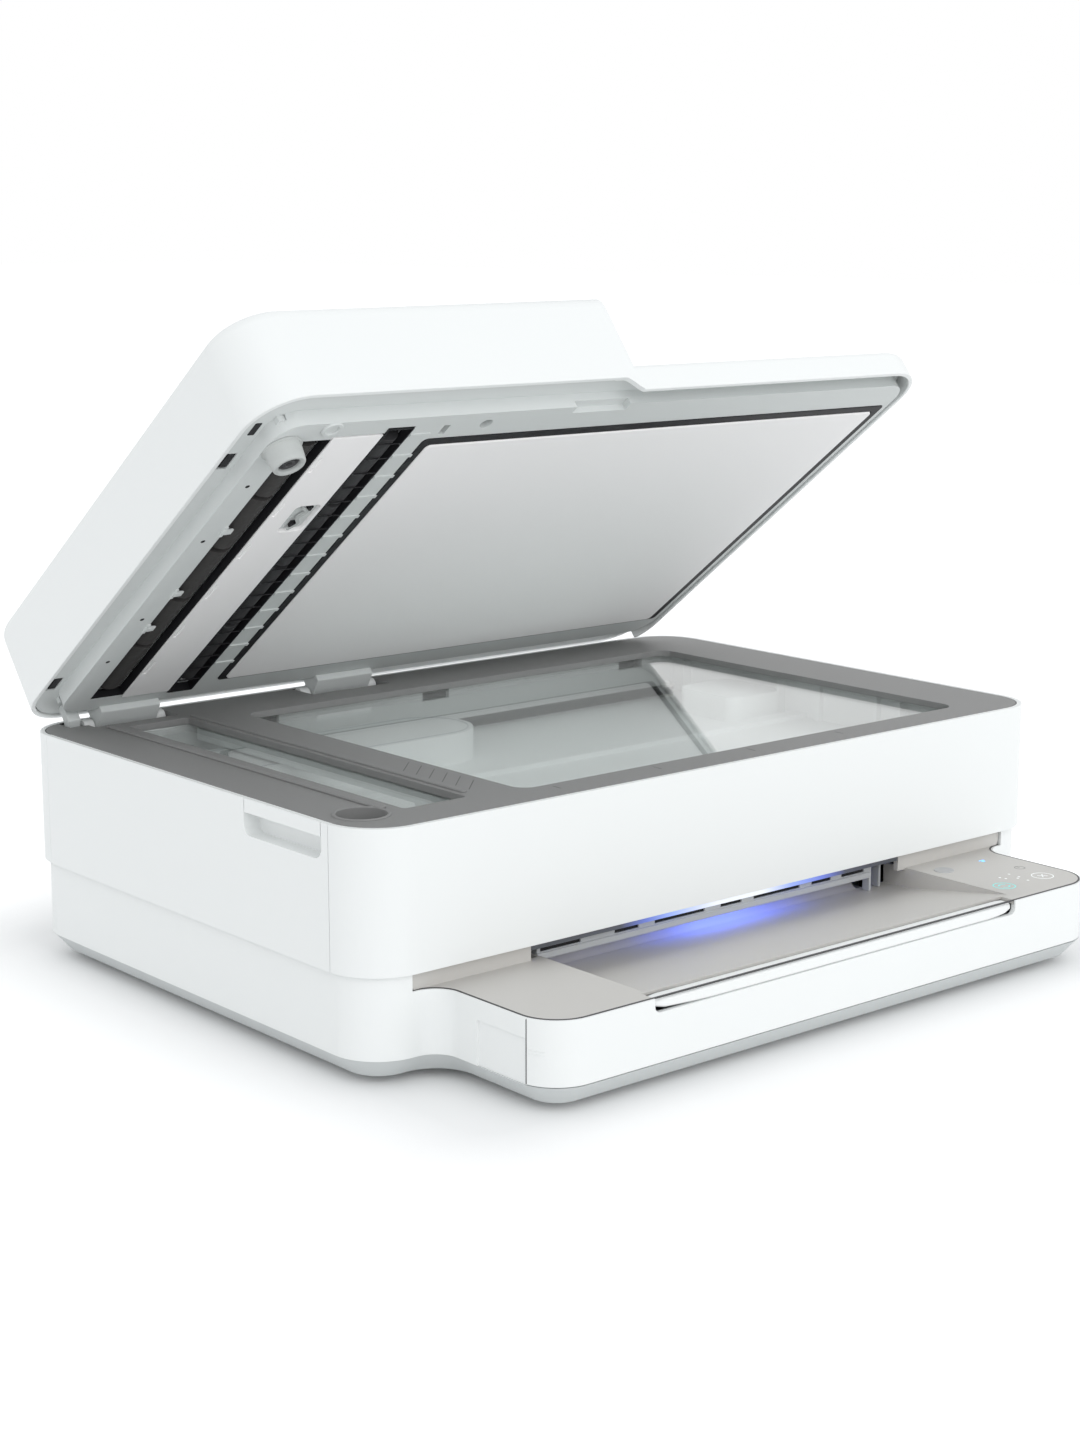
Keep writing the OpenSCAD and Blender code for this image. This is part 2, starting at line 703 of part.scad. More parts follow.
module feed_motor() color("gray") in_body() {
    difference() {
        bar_x(gear_x - 29, gear_x - 4, drive_y, shaft_z, 15);
        bar_x(gear_x - 30, gear_x - 27, drive_y, shaft_z, 5);
    }
    bar_x(gear_x - 5, cheek_x0 + 1, drive_y, shaft_z, 1.5);
    block(gear_x - 6, drive_y - 20, shaft_z - 3, gear_x - 4, drive_y + 20, shaft_z + 3);
}

// Shaft with rubber rollers and its gear
module roller_shaft(y) {
    bar_x(gear_x - 2, cheek_x1 + 3, y, shaft_z, shaft_r);
    translate([gear_x, y, shaft_z]) rotate([90, 0, 90]) linear_extrude(gear_w) gear(roller_teeth, gear_m);
}

module feed_roller() color("slategray") in_body() {
    roller_shaft(feed_y);
    for (i = [0 : 3]) bar_x(-110 + 56 * i, -60 + 56 * i, feed_y, shaft_z, feed_r);
}

module exit_roller() color("slategray") in_body() {
    roller_shaft(exit_y);
    for (i = [0 : 7]) bar_x(-104 + 28 * i, -96 + 28 * i, exit_y, shaft_z, feed_r - 1);
}

module drive_pinion() color("gold") in_body() {
    translate([gear_x, drive_y, shaft_z]) rotate([90, 0, 90]) linear_extrude(gear_w) difference() {
        gear(drive_teeth, gear_m, 0.5);
        circle(1.5 + run_gap);
    }
}

// Ribbed plate under the print head
module platen() color("darkslategray") in_body() {
    y0 = exit_y + 10;
    y1 = feed_y - feed_r - 3;
    x0 = cheek_x0 + 4;
    x1 = station_x0 - 2;
    block(x0, y0, shaft_z + 1, x1, y1, shaft_z + 4);
    for (i = [0 : 15]) translate([(i / 7.5 - 1) * (x1 - 9.5), 0, 0])
        block(-0.8, y0, shaft_z + 4 - eps, 0.8, y1, shaft_z + 6);
    // Foot on the left, and a bracket that meets the station on the right
    block(x0, y0 + 4, pan_in, x0 + 3, y1 - 4, shaft_z + 1 + eps);
    block(x1 - 3, y0 + 4, station_z + 2, station_x0, y1 - 4, shaft_z + 1 + eps);
}

// Capping and wiping station at the carriage's rest place; it stands over the tray's edge
module service_station() color("darkgray") in_body() {
    x1 = park_x + 32;
    y0 = exit_y + 12;
    y1 = feed_y - 10;
    difference() {
        block(station_x0, y0, station_z, x1, y1, shaft_z - 2);
        block(station_x0 + 2, y0 + 2, station_z + 2, x1 - 2, y1 - 2, shaft_z);
    }
    block(x1 - 12, y0, pan_in, x1, y1, station_z + 1);
    for (x = [park_x - 17, park_x + 17]) {
        difference() {
            block(x - 6, y0 + 4, station_z + 1, x + 6, y0 + 22, shaft_z + 7.5);
            block(x - 4, y0 + 6, shaft_z + 4, x + 4, y0 + 20, shaft_z + 8);
        }
        block(x - 5, y0 + 26, station_z + 1, x + 5, y0 + 28, shaft_z + 9);
    }
}

module print_carriage() color("dimgray") in_body() {
    x0 = park_x - carriage_w / 2;
    x1 = park_x + carriage_w / 2;
    y1 = rod_y + 6;
    difference() {
        union() {
            // Side profile: raked front, cartridge bay, rod housing behind
            along_x(x0, x1) polygon([[carriage_y0, carriage_z0], [carriage_y0 + 4, carriage_z1 - 4],
                [carriage_y0 + 8, carriage_z1], [y1, carriage_z1], [y1, rod_z - 8], [rod_y - 9, rod_z - 8],
                [rod_y - 9, carriage_z0]]);
        }
        for (s = [-1, 1]) {
            c = park_x + s * (carriage_w / 4 - 0.5);
            block(c - cartridge_w / 2 - 0.4, carriage_y0 + 6, carriage_z0 + 2,
                c + cartridge_w / 2 + 0.4, rod_y - 10, carriage_z1 + 1);
            block(c - 9, carriage_y0 + 20, carriage_z0 - 1, c + 9, carriage_y0 + 36, carriage_z0 + 3);
        }
        bar_x(x0 - 1, x1 + 1, rod_y, rod_z, rod_r + run_gap);
    }
    // Ears of the latches
    for (s = [-1, 1], e = [-12.5, 10.5]) {
        c = park_x + s * (carriage_w / 4 - 0.5);
        difference() {
            block(c + e, carriage_y0 - 4, carriage_z0 + 4, c + e + 2, carriage_y0 + 4, carriage_z0 + 10);
            bar_x(c - 20, c + 20, carriage_y0 - 1, carriage_z0 + 7, 1.5 + run_gap);
        }
    }
}

// Ink cartridge: tall tank, nozzle foot, sloping shoulder and grip ribs
module cartridge(side) {
    c = park_x + side * (carriage_w / 4 - 0.5);
    y0 = carriage_y0 + 6.5;
    y1 = rod_y - 10.5;
    along_x(c - cartridge_w / 2, c + cartridge_w / 2) polygon([[y0, carriage_z0 + 2.4],
        [y0, carriage_z1 - 6], [y0 + 5, carriage_z1 - 1], [y1 - 6, carriage_z1 - 1], [y1, carriage_z1 - 8],
        [y1, carriage_z0 + 8], [y1 - 5, carriage_z0 + 2.4]]);
    block(c - 8, y0 + 15, carriage_z0 + 0.4, c + 8, y0 + 28, carriage_z0 + 3);
    for (i = [0 : 3])
        block(c - 11, y0 + 10 + 4 * i, carriage_z1 - 1.5, c + 11, y0 + 12 + 4 * i, carriage_z1 - 0.4);
}

module black_cartridge() color("black") in_body() cartridge(1);

module colour_cartridge() color("darkslateblue") in_body() cartridge(-1);

// Latch lever in front of a cartridge, turning on its lower pin
module latch(side) {
    c = park_x + side * (carriage_w / 4 - 0.5);
    y = carriage_y0 - 1;
    z = carriage_z0 + 7;
    bar_x(c - 13, c + 13, y, z, 1.5);
    bar_x(c - 10, c + 10, y, z, 1.9);
    along_x(c - 10, c + 10) polygon([[y - 1.8, z], [y - 1.8, z + 14], [y - 4, z + 17], [y - 2, z + 18],
        [y + 0.4, z + 15], [y + 0.8, z + 4], [y, z]]);
}

module left_latch() color("steelblue") in_body() latch(-1);

module right_latch() color("black") in_body() latch(1);

// Arm with the shaft it swings on
module pick_arm() color("gray") in_body() {
    bar_x(-30, 30, pick_y, pick_z, shaft_r);
    for (x = [-21, 18]) along_x(x, x + 3) {
        translate([pick_y, pick_z]) circle(6);
        polygon([[pick_y, pick_z + 6], [pick_y + pick_len, pick_z - 8], [pick_y + pick_len, pick_z - 20],
            [pick_y, pick_z - 6]]);
        translate([pick_y + pick_len, pick_z - pick_drop]) circle(6);
    }
    bar_x(-19, 19, pick_y + pick_len, pick_z - pick_drop, 2);
    block(-21, pick_y + 12, pick_z - 2, 21, pick_y + 26, pick_z + 1);
}

module pick_roller() color("dimgray") in_body() difference() {
    bar_x(-16, 16, pick_y + pick_len, pick_z - pick_drop, pick_r);
    bar_x(-17, 17, pick_y + pick_len, pick_z - pick_drop, 2 + run_gap);
}

// ---- Electronics ----

module main_board() color("darkgreen") in_body() {
    y0 = beam_y + 26;
    y1 = body_d - 29;
    x0 = tray_hw + 7;
    s = (hw - 15 - x0) / 77;
    translate([x0, 0, 0]) {
        block(0, y0, pan_in + 3, 77 * s, y1, pan_in + 4.6);
        for (p = [[16, 14, 18, 18], [44, 44, 14, 10], [26, 74, 24, 8], [58, 16, 10, 16]])
            block(s * p[0] - p[2] / 2, y0 + p[1] - p[3] / 2, pan_in + 4.6,
                s * p[0] + p[2] / 2, y0 + p[1] + p[3] / 2, pan_in + 8);
        for (i = [0 : 3]) translate([66 * s, y0 + 40 + 14 * i, pan_in + 4.6]) cylinder(h = 10, r = 4);
        for (x = [4, 77 * s - 3], y = [y0 + 4, y1 - 4]) translate([x, y, pan_in]) cylinder(h = 3, r = 3);
    }
}

module power_supply() color("black") in_body() {
    x0 = -hw + 14;
    x1 = -tray_hw - 7;
    plate(x0, 184, x1, 256, 6, pan_in, pan_in + 34);
    for (i = [0 : 7]) translate([x0 + 7 + i * (x1 - x0 - 22) / 7, 0, 0])
        block(0, 188, pan_in + 34 - eps, 4, 252, pan_in + 35.5);
}

module power_inlet() color("black") in_body() {
    difference() {
        union() {
            block(inlet_x - 10.4, 262, 17.6, inlet_x + 10.4, base_y1 + 0.3, 32.4);
            block(inlet_x - 13, base_y1 - wall - 2, 15, inlet_x + 13, base_y1 - wall - 0.1, 35);
        }
        for (s = [-4, 4]) bar_y(268, base_y1 + 1, inlet_x + s, 25, 5);
        block(inlet_x - 4, 268, 20, inlet_x + 4, base_y1 + 1, 30);
    }
    for (s = [-4, 4]) bar_y(267, 277, inlet_x + s, 25, 1.2);
}

module usb_port() color("silver") in_body() {
    difference() {
        block(port_x - 6, 258, 20, port_x + 6, base_y1, 31);
        block(port_x - 5, 264, 21, port_x + 5, base_y1 + 1, 30);
    }
    block(port_x - 3, 263, 24, port_x + 3, base_y1 - 1.5, 27);
    block(port_x - 6, 240, pan_in, port_x + 3, 258.5, 31);
}

module push_button(x, r) {
    bar_y(base_y1 - wall - 1.6, base_y1 + 1, x, 26, r);
    bar_y(base_y1 - wall - 3, base_y1 - wall - 1.6, x, 26, r + 1.2);
}

module power_button() color("silver") in_body() push_button(power_x, 5.6);

module wireless_button() color("silver") in_body() push_button(wireless_x, 4.4);

// ---- Scanner unit ----

module casing_ring() {
    difference() {
        casing_plan(0);
        casing_plan(wall);
    }
}

module casing_band(y0, y1, x1 = hw) {
    translate([0, 0, seam_z]) linear_extrude(body_top - seam_z) intersection() {
        casing_ring();
        translate([-hw, y0]) square([x1 + hw, y1 - y0]);
    }
}

module front_panel() color("white") in_body() {
    casing_band(0, front_return);
    // Stiffening ribs behind the front
    for (i = [-3 : 3]) along_x(i * 56 - 1, i * 56 + 1) polygon([[wall - eps, seam_z + 14],
        [wall - eps, bezel_z - 8], [wall + 5, bezel_z - 8]]);
}

// Side panel with a hand grip: a lip at the top and a hollow below it
module side_panel() {
    y0 = front_return + panel_gap;
    y1 = body_d - rear_return - panel_gap;
    difference() {
        casing_band(y0, y1, 0);
        along_x(-hw - 1, 0) round_rect(grip_y0, grip_z0, grip_y1, body_top + 20, 5);
    }
    // Lip, thicker below the bezel
    block(-hw, grip_y0 + 0.6, lip_z, -hw + wall, grip_y1 - 0.6, body_top);
    block(-hw + wall - eps, grip_y0 + 0.6, lip_z, -hw + grip_depth, grip_y1 - 0.6, bezel_z - 0.2);
    // Tray-shaped hollow
    difference() {
        along_x(-hw + 0.4, -hw + grip_depth + 1)
            round_rect(grip_y0 - 1.5, grip_z0 - 1.5, grip_y1 + 1.5, bezel_z - 0.2, 6.5);
        along_x(-hw - 1, -hw + grip_depth) round_rect(grip_y0, grip_z0, grip_y1, body_top + 20, 5);
        block(-hw - 1, grip_y0 - 2, bezel_z - 3, -hw + wall - 0.02, grip_y1 + 2, body_top);
    }
}

module left_side_panel() color("white") in_body() side_panel();

module right_side_panel() color("white") in_body() mirror([1, 0, 0]) side_panel();

module rear_panel() color("white") in_body() difference() {
    casing_band(body_d - rear_return, body_d);
    // The lower rear edge is rounded about the access hinge
    difference() {
        block(-hw - 1, access_y, seam_z - 1, hw + 1, body_d + 1, access_z);
        bar_x(-hw - 2, hw + 2, access_y, access_z, barrel_r);
    }
    for (i = [0 : 15]) block(30 + 8 * i, body_d - wall - 1, 76, 34 + 8 * i, body_d + 1, 92);
}

// Plan of the ledge that joins the tub to the panels
module ledge_plan() {
    difference() {
        casing_plan(wall + 0.1);
        translate([tub_x0, tub_y0]) square([tub_x1 - tub_x0, tub_y1 - tub_y0]);
        // Room for the grips, the bumper's seat and the hinge arms
        for (s = [-1, 1]) translate([s * hw, (grip_y0 + grip_y1) / 2])
            square([2 * (grip_depth + 3), grip_y1 - grip_y0 + 5], center = true);
        translate([bumper_x, bumper_y]) circle(bumper_seat_r + 2.5);
        for (a = arm_w) translate([a[0] - arm_gap, tub_y1 + tub_t + 2])
            square([a[1] - a[0] + 2 * arm_gap, 60]);
    }
}

module scanner_tub() color("gainsboro") in_body() {
    difference() {
        union() {
            plate(tub_x0 - tub_t, tub_y0 - tub_t, tub_x1 + tub_t, tub_y1 + tub_t, 4, tub_z, bezel_z);
            translate([0, 0, bezel_z - 6]) linear_extrude(2.4) ledge_plan();
        }
        plate(tub_x0, tub_y0, tub_x1, tub_y1, 2, tub_floor, body_top);
        // The bumper's seat dips into the corner
        translate([bumper_x, bumper_y, bezel_z - 7]) cylinder(h = 20, r = bumper_seat_r + 2);
        // Clip windows in the back wall
        for (x = [-103, 8, 150]) block(x, tub_y1 - 1, bezel_z - 10, x + 18, tub_y1 + tub_t + 1, bezel_z - 2);
    }
    // Rail of the scan bar, flutes of the floor, rounded drive housing and gear bracket
    block(tub_x0, rail_y - 2, tub_floor - eps, tub_x1, rail_y + 2, rail_top);
    for (y = [100, 148]) block(tub_x0, y - 5, tub_floor - eps, tub_x1, y + 5, tub_floor + 2.5);
    translate([0, 0, tub_floor - eps]) linear_extrude(dome_top - tub_floor) {
        translate([tub_x0 + eps, 176]) square([168 - eps, 50]);
        translate([tub_x0 + 168, 201]) circle(25);
    }
    plate(tub_x1 - 42, 158, tub_x1 - 2, 204, 8, tub_floor - eps, dome_top - 2);
    for (y = [91, 133]) block(tub_x1 - 3, y - 2, tub_floor - eps, tub_x1 + eps, y + 2, bezel_z - 4);
    // Ears of the access hinge
    for (s = [0, 1]) mirror([s, 0, 0]) difference() {
        along_x(hw - 28, hw - 22) {
            translate([access_y, access_z]) circle(ear_r);
            translate([access_y - ear_r, access_z]) square([2 * ear_r, tub_z - access_z + 20]);
            translate([tub_y1, tub_z]) square([access_y + ear_r - tub_y1, 20]);
        }
        bar_x(hw - 29, hw - 21, access_y, access_z, pin_r + run_gap);
    }
    // Ears of the lid's hinges
    for (a = arm_w, s = [0, 1]) {
        x = s == 0 ? a[0] - arm_gap - arm_ear : a[1] + arm_gap;
        difference() {
            along_x(x, x + arm_ear) {
                translate([axis_y, axis_z]) circle(arm_pin_r + 2);
                translate([axis_y - 4, bezel_z - 18]) square([8, axis_z - bezel_z + 18]);
                translate([tub_y1, bezel_z - 18]) square([axis_y + 4 - tub_y1, 12]);
            }
            bar_x(x - 1, x + arm_ear + 1, axis_y, axis_z, arm_pin_r + run_gap);
        }
    }
}

module scanner_bezel() color("gray") in_body() {
    difference() {
        union() {
            translate([0, 0, bezel_z]) linear_extrude(bezel_t) casing_plan(wall + bezel_gap);
            translate([bumper_x, bumper_y, bezel_z - 6.4]) cylinder(h = 6.5, r = bumper_seat_r + seat_wall);
            translate([bumper_x, bumper_y, body_top - eps]) cylinder(h = 0.5, r = bumper_seat_r + 1.2);
            // Raised bead left of the feeder's window
            plate(window_x0 - 9, 34, window_x0 - 5, 255, 1.9, body_top - eps, body_top + 1.1);
        }
        plate(bed_x0, bed_y0, bed_x1, bed_y0 + bed_d, 8, bezel_z - 1, body_top + 1);
        plate(window_x0, 27, window_x0 + window_w, 250, 2, bezel_z - 1, body_top + 1);
        translate([bumper_x, bumper_y, seat_floor]) cylinder(h = 20, r = bumper_seat_r);
        translate([bumper_x, bumper_y, bezel_z - 8]) cylinder(h = 20, r = 7.5);
        for (a = arm_w) block(a[0] - arm_ear - 1.5, axis_y - 15, bezel_z - 1,
            a[1] + arm_ear + 1.5, body_d, body_top + 1);
        block(-hw + 18, axis_y - 9, bezel_z - 1, -hw + 29, body_d, body_top + 1);
        // Room for the grips' lips
        for (s = [-1, 1]) translate([s * (hw - 0.5), (grip_y0 + grip_y1) / 2, bezel_z])
            cube([2 * wall, grip_y1 - grip_y0, 20], center = true);
    }
}

module flatbed_glass() color("lightblue", 0.4) in_body() {
    plate(bed_x0 - 5, bed_y0 - 5, bed_x1 + 6, bed_y0 + bed_d + 6, 1, bezel_z - glass_t, bezel_z);
}

module feeder_glass() color("lightblue", 0.4) in_body() {
    plate(window_x0 - 3, 24, window_x0 + window_w + 3, tub_y1 - 0.6, 1, bezel_z - 2.4, bezel_z);
}

// Contact image sensor on its slider
module scan_bar() color("dimgray") in_body() {
    x0 = bed_x0 - 24;
    difference() {
        union() {
            plate(x0, tub_y0 + 3, x0 + 20, tub_y1 - 4, 2, bar_z, bezel_z - glass_t - 0.6);
            block(x0, rail_y - 8, tub_floor + 3.4, x0 + 20, rail_y + 8, bar_z + eps);
        }
        block(x0 - 1, rail_y - 2.3, tub_floor, x0 + 21, rail_y + 2.3, rail_top + 0.3);
        // Groove of the lens
        block(x0 + 8, tub_y0 + 10, bezel_z - glass_t - 1.2, x0 + 12, tub_y1 - 12, bezel_z);
    }
}

// ---- Lid, drawn closed with Z from the hinge axis ----

// Slab with rounded plan corners and a filleted top edge
module soft_slab(x0, y0, x1, y1, r_left, r_right, z0, z1, f) {
    hull() for (x = [x0, x1], y = [y0, y1]) {
        r = x == x0 ? r_left : r_right;
        g = min(f, r);
        translate([x == x0 ? x + r : x - r, y == y0 ? y + r : y - r, 0]) {
            translate([0, 0, z0]) cylinder(h = z1 - f - z0, r = r, $fn = 32);
            translate([0, 0, z1 - f]) rotate_extrude($fn = 32) intersection() {
                translate([r - g, 0]) scale([g / f, 1]) circle(f, $fn = 32);
                square([r, f]);
            }
            translate([0, 0, z1 - f]) cylinder(h = f, r = max(r - g, 0.1), $fn = 32);
        }
    }
}

module lid_cover() color("white") in_lid() difference() {
    union() {
        difference() {
            soft_slab(-hw, 0, step_x, body_d, corner_r, step_r, feeder_rim, feeder_top, top_fillet);
            soft_slab(-hw + wall, wall, step_x - wall, body_d - wall, corner_r - wall, 1,
                feeder_rim - 1, feeder_top - wall, top_fillet - wall);
        }
        difference() {
            soft_slab(step_x - 6, 0, lid_x1, body_d, 3, corner_r, flap_rim, flap_top, flap_fillet);
            soft_slab(step_x - 8, wall, lid_x1 - wall, body_d - wall, 1, corner_r - wall,
                flap_rim - 1, flap_top - wall, flap_fillet - 2);
        }
    }
    // The thick part's inside stays open below the thin part's end
    block(step_x - 8, wall, flap_rim - 1, step_x + 0.1, body_d - wall, flap_top - wall);
    block(-hw + wall, wall, feeder_rim - 1, step_x - wall, body_d - wall, flap_top);
    block(step_x - 7, -1, 0, step_x, body_d + 1, feeder_rim);
    // Behind the hinge axis the rim is higher, so that it clears the casing as the lid turns
    block(step_x - 1, axis_y - 3, 0, hw, body_d + 1, 9.2);
    // Door opening, loading trough and outlet of the sheet feeder
    block(door_axis_x - 6.9, door_y0, feeder_top - 12, door_x1 + 0.5, door_y1, feeder_top + 1);
    block(door_x1 - 1, door_y0, tray_deck, step_x + 1, door_y1, feeder_top + 1);
    block(step_x - 10, 30, flap_top + 3, step_x + 1, body_d - 30, tray_deck - 4.5);
}

// Ribs of the ramp beside the pad
module ramp_ribs() {
    for (i = [0 : 12]) block(bed_x0 - 15, 26 + 17 * i, frame_z - 0.6, bed_x0 - 4, 28 + 17 * i, frame_z + eps);
}

module roller_post(y, x, z, half) {
    block(x - half, y, frame_top - eps, x + half, y + 3, z + 5);
}

module lid_frame() color("lightgray") in_lid() {
    difference() {
        union() {
            plate(-hw + frame_in, frame_in + 1, frame_right, frame_back, corner_r - frame_in,
                frame_z, flange_z + eps);
            plate(-hw + flange_in, flange_in, lid_x1 - flange_in, body_d - flange_in, corner_r - flange_in,
                flange_z, flange_z + flange_t);
        }
        // Hollow inside, above the plate
        plate(-hw + frame_in + 2, frame_in + 3, frame_right - 2, frame_back - 2, 6, frame_top, 99);
        // Recess of the pad and its backing
        plate(bed_x0 - 4.5, 31, frame_right - 3, 251, 3, frame_z - 1, frame_z + 3);
        // Windows of the two rollers and seat of the pressure plate
        block(sheet_roller_x - 9, 26, frame_z - 1, sheet_roller_x + 9.4, 253, frame_top + 1);
        block(exit_roller_x - 7.4, 20, frame_z - 1, exit_roller_x + 7.4, 258, frame_top + 1);
        block(plate_x0 - 0.4, 24, frame_z - 1, plate_x1 + 0.4, 256, frame_z + 1.7);
        // Round and slotted holes of the front band, and the finger scoop
        translate([bed_x0 + 25, axis_y - 253, 0]) cylinder(h = 20, r = 3.2);
        block(bed_x0 + 1, axis_y - 254, 0, bed_x0 + 4.5, axis_y - 247, frame_top + 1);
        block(step_x - 34, frame_in, frame_z - 1, step_x - 1, frame_in + 6, frame_z + 3.2);
        // Pockets of the clips at the left edge
        for (y = [44, 240]) block(-hw + flange_in + 0.6, y, flange_z - 1, -hw + frame_in - 3, y + 12, 20);
        translate([bumper_x, bumper_y, frame_z - 1]) cylinder(h = 2, r = 5);
    }
    ramp_ribs();
    // Posts of the roller shafts and of the feeder door, at both ends
    for (y = post_y) difference() {
        union() {
            roller_post(y, sheet_roller_x, sheet_roller_z, 5);
            roller_post(y, exit_roller_x, exit_roller_z, 4);
            roller_post(y, pick_roller_x, pick_roller_z, 4);
            block(door_axis_x - 2.9, y, frame_top - eps, door_axis_x + 3, y + 3, door_axis_z + 3);
        }
        bar_y(y - 1, y + 4, sheet_roller_x, sheet_roller_z, pin_r + run_gap);
        bar_y(y - 1, y + 4, exit_roller_x, exit_roller_z, pin_r + run_gap);
        bar_y(y - 1, y + 4, pick_roller_x, pick_roller_z, pin_r + run_gap);
        bar_y(y - 1, y + 4, door_axis_x, door_axis_z, door_pin_r + run_gap);
    }
}

module pad_backing() color("black") in_lid() plate(bed_x0 - 4, 31.5, frame_right - 3.4, 250.5, 2,
    frame_z + 1.2, frame_z + 3);

module document_pad() color("whitesmoke") in_lid() plate(bed_x0 + 0.3, 36.5, frame_right - 7.6, 250, 3,
    frame_z - 0.8, frame_z + 1.2);

module pressure_plate() color("white") in_lid() difference() {
    block(plate_x0, 25, frame_z - 0.4, plate_x1, 255, frame_z + 1.7);
    // Window of the S-shaped spring
    plate(plate_x1 - 15.4, axis_y - 194, plate_x1 - 1.4, axis_y - 172, 3, 0, 20);
    for (i = [0 : 5])
        block(plate_x0 + 1.4, 40 + 36 * i, frame_z - 1, plate_x0 + 2.9, 52 + 36 * i, frame_z + 0.2);
}

module lid_bumper() color("white") in_lid() translate([bumper_x, bumper_y, 0]) difference() {
    union() {
        translate([0, 0, frame_z - bumper_h + 1]) cylinder(h = bumper_h - 1, r = bumper_r);
        translate([0, 0, frame_z - bumper_h]) cylinder(h = 1, r1 = bumper_r - 1, r2 = bumper_r);
        translate([0, 0, frame_z - eps]) cylinder(h = 1, r = 4.9);
    }
    translate([0, 0, frame_z - bumper_h - 1]) cylinder(h = bumper_h - 1, r = 5);
}

module lid_hinge_arms() color("lightgray") in_lid() {
    for (a = arm_w) {
        bar_x(a[0], a[1], axis_y, 0, arm_r);
        along_x(a[0], a[1]) polygon([[axis_y - 13, 1], [axis_y - 13, frame_z], [frame_back + 0.1, frame_z],
            [frame_back + 0.1, flange_z], [axis_y - 1, flange_z], [axis_y - 1, 0], [axis_y, -arm_r],
            [axis_y - 5, -2.5]]);
        bar_x(a[0] - arm_gap - arm_ear + 0.5, a[1] + arm_gap + arm_ear - 0.5, axis_y, 0, arm_pin_r);
    }
    // Hook at the left end of the left arm
    along_x(-hw + 20, -hw + 27) polygon([[axis_y - 6, 2], [axis_y - 6, flange_z], [axis_y - 1, flange_z],
        [axis_y - 1, 4], [axis_y + 2, -0.5], [axis_y + 1.5, -2], [axis_y, -2.5]]);
}

// Door over the rollers; its left edge is a barrel about its pins
module feeder_cover() color("white") in_lid() {
    y0 = door_y0 + 0.6;
    y1 = door_y1 - 0.6;
    along_y(y0, y1) {
        intersection() {
            difference() {
                translate([door_axis_x, door_axis_z]) circle(6.5);
                translate([door_axis_x, door_axis_z]) circle(4);
            }
            translate([door_axis_x - 7, door_axis_z]) square([7 + eps, 7]);
        }
        translate([door_axis_x, feeder_top - 2.5]) square([door_x1 - door_axis_x, 2.5]);
        translate([door_x1 - 2, feeder_top - 5]) square([2, 4]);
    }
    for (y = [y0, y1 - 3]) along_y(y, y + 3) {
        translate([door_axis_x, door_axis_z]) circle(4.2);
        translate([door_axis_x, door_axis_z]) square([8, 5]);
    }
    bar_y(post_y[0] - 0.5, y0 + 1, door_axis_x, door_axis_z, door_pin_r);
    bar_y(y1 - 1, post_y[1] + 3, door_axis_x, door_axis_z, door_pin_r);
    for (y = [60, 140, 220]) block(door_axis_x + 19, y, feeder_top - 6, door_x1 - 12, y + 2, feeder_top - 2);
}

module feeder_tray() color("gainsboro") in_lid() {
    y0 = door_y0 + 0.4;
    y1 = door_y1 - 0.4;
    difference() {
        block(door_x1 + 1, y0, tray_deck - 3, step_x - wall - 0.3, y1, tray_deck);
        // Slots of the sheet guides' feet
        for (s = [0, 1]) translate([0, sheet_mid, 0]) mirror([0, s, 0])
            block(door_x1 + 44, 8, 0, door_x1 + 48, sheet_w / 2 + 5.4, 99);
    }
    for (i = [0 : 6])
        block(door_x1 + 2, 42 + 32 * i, tray_deck - eps, door_x1 + 36, 43.5 + 32 * i, tray_deck + 0.3);
    // Legs that stand on the inner frame
    for (x = [door_x1 + 2, step_x - wall - 4], y = [y0 + 0.5, y1 - 3.5])
        block(x, y, frame_top, x + 3, y + 3, tray_deck - 2.9);
}

// Guide for one edge of the sheets; side is -1 in front and 1 behind
module sheet_guide(side) {
    y = sheet_mid + side * (sheet_w / 2 + 2);
    block(door_x1 + 14, y - 1.5, tray_deck + 0.4, door_x1 + 76, y + 1.5, tray_deck + 10);
    block(door_x1 + 40, min(y, y - side * 10), tray_deck + 0.4,
        door_x1 + 52, max(y, y - side * 10), tray_deck + 2);
    block(door_x1 + 44.3, y - 3, tray_deck - 4, door_x1 + 47.7, y + 3, tray_deck + 1);
}

module front_sheet_guide() color("white") in_lid() sheet_guide(-1);

module rear_sheet_guide() color("white") in_lid() sheet_guide(1);

// Shaft that ends in the frame's posts
module feeder_shaft(x, z) {
    bar_y(post_y[0] - 0.5, post_y[1] + 3, x, z, pin_r);
}

module grooved_roller(x, z, r, n) {
    pitch = 218 / n;
    feeder_shaft(x, z);
    for (i = [0 : n - 1]) bar_y(31 + i * pitch, 31 + (i + 1) * pitch - 3, x, z, r);
}

module feeder_roller() color("dimgray") in_lid()
    grooved_roller(sheet_roller_x, sheet_roller_z, sheet_roller_r, 5);

module feeder_exit_roller() color("black") in_lid()
    grooved_roller(exit_roller_x, exit_roller_z, exit_roller_r, 4);

module feeder_pick_roller() color("dimgray") in_lid() {
    feeder_shaft(pick_roller_x, pick_roller_z);
    bar_y(sheet_mid - 16, sheet_mid + 16, pick_roller_x, pick_roller_z, pick_roller_r);
}

// ---- Drawing ----

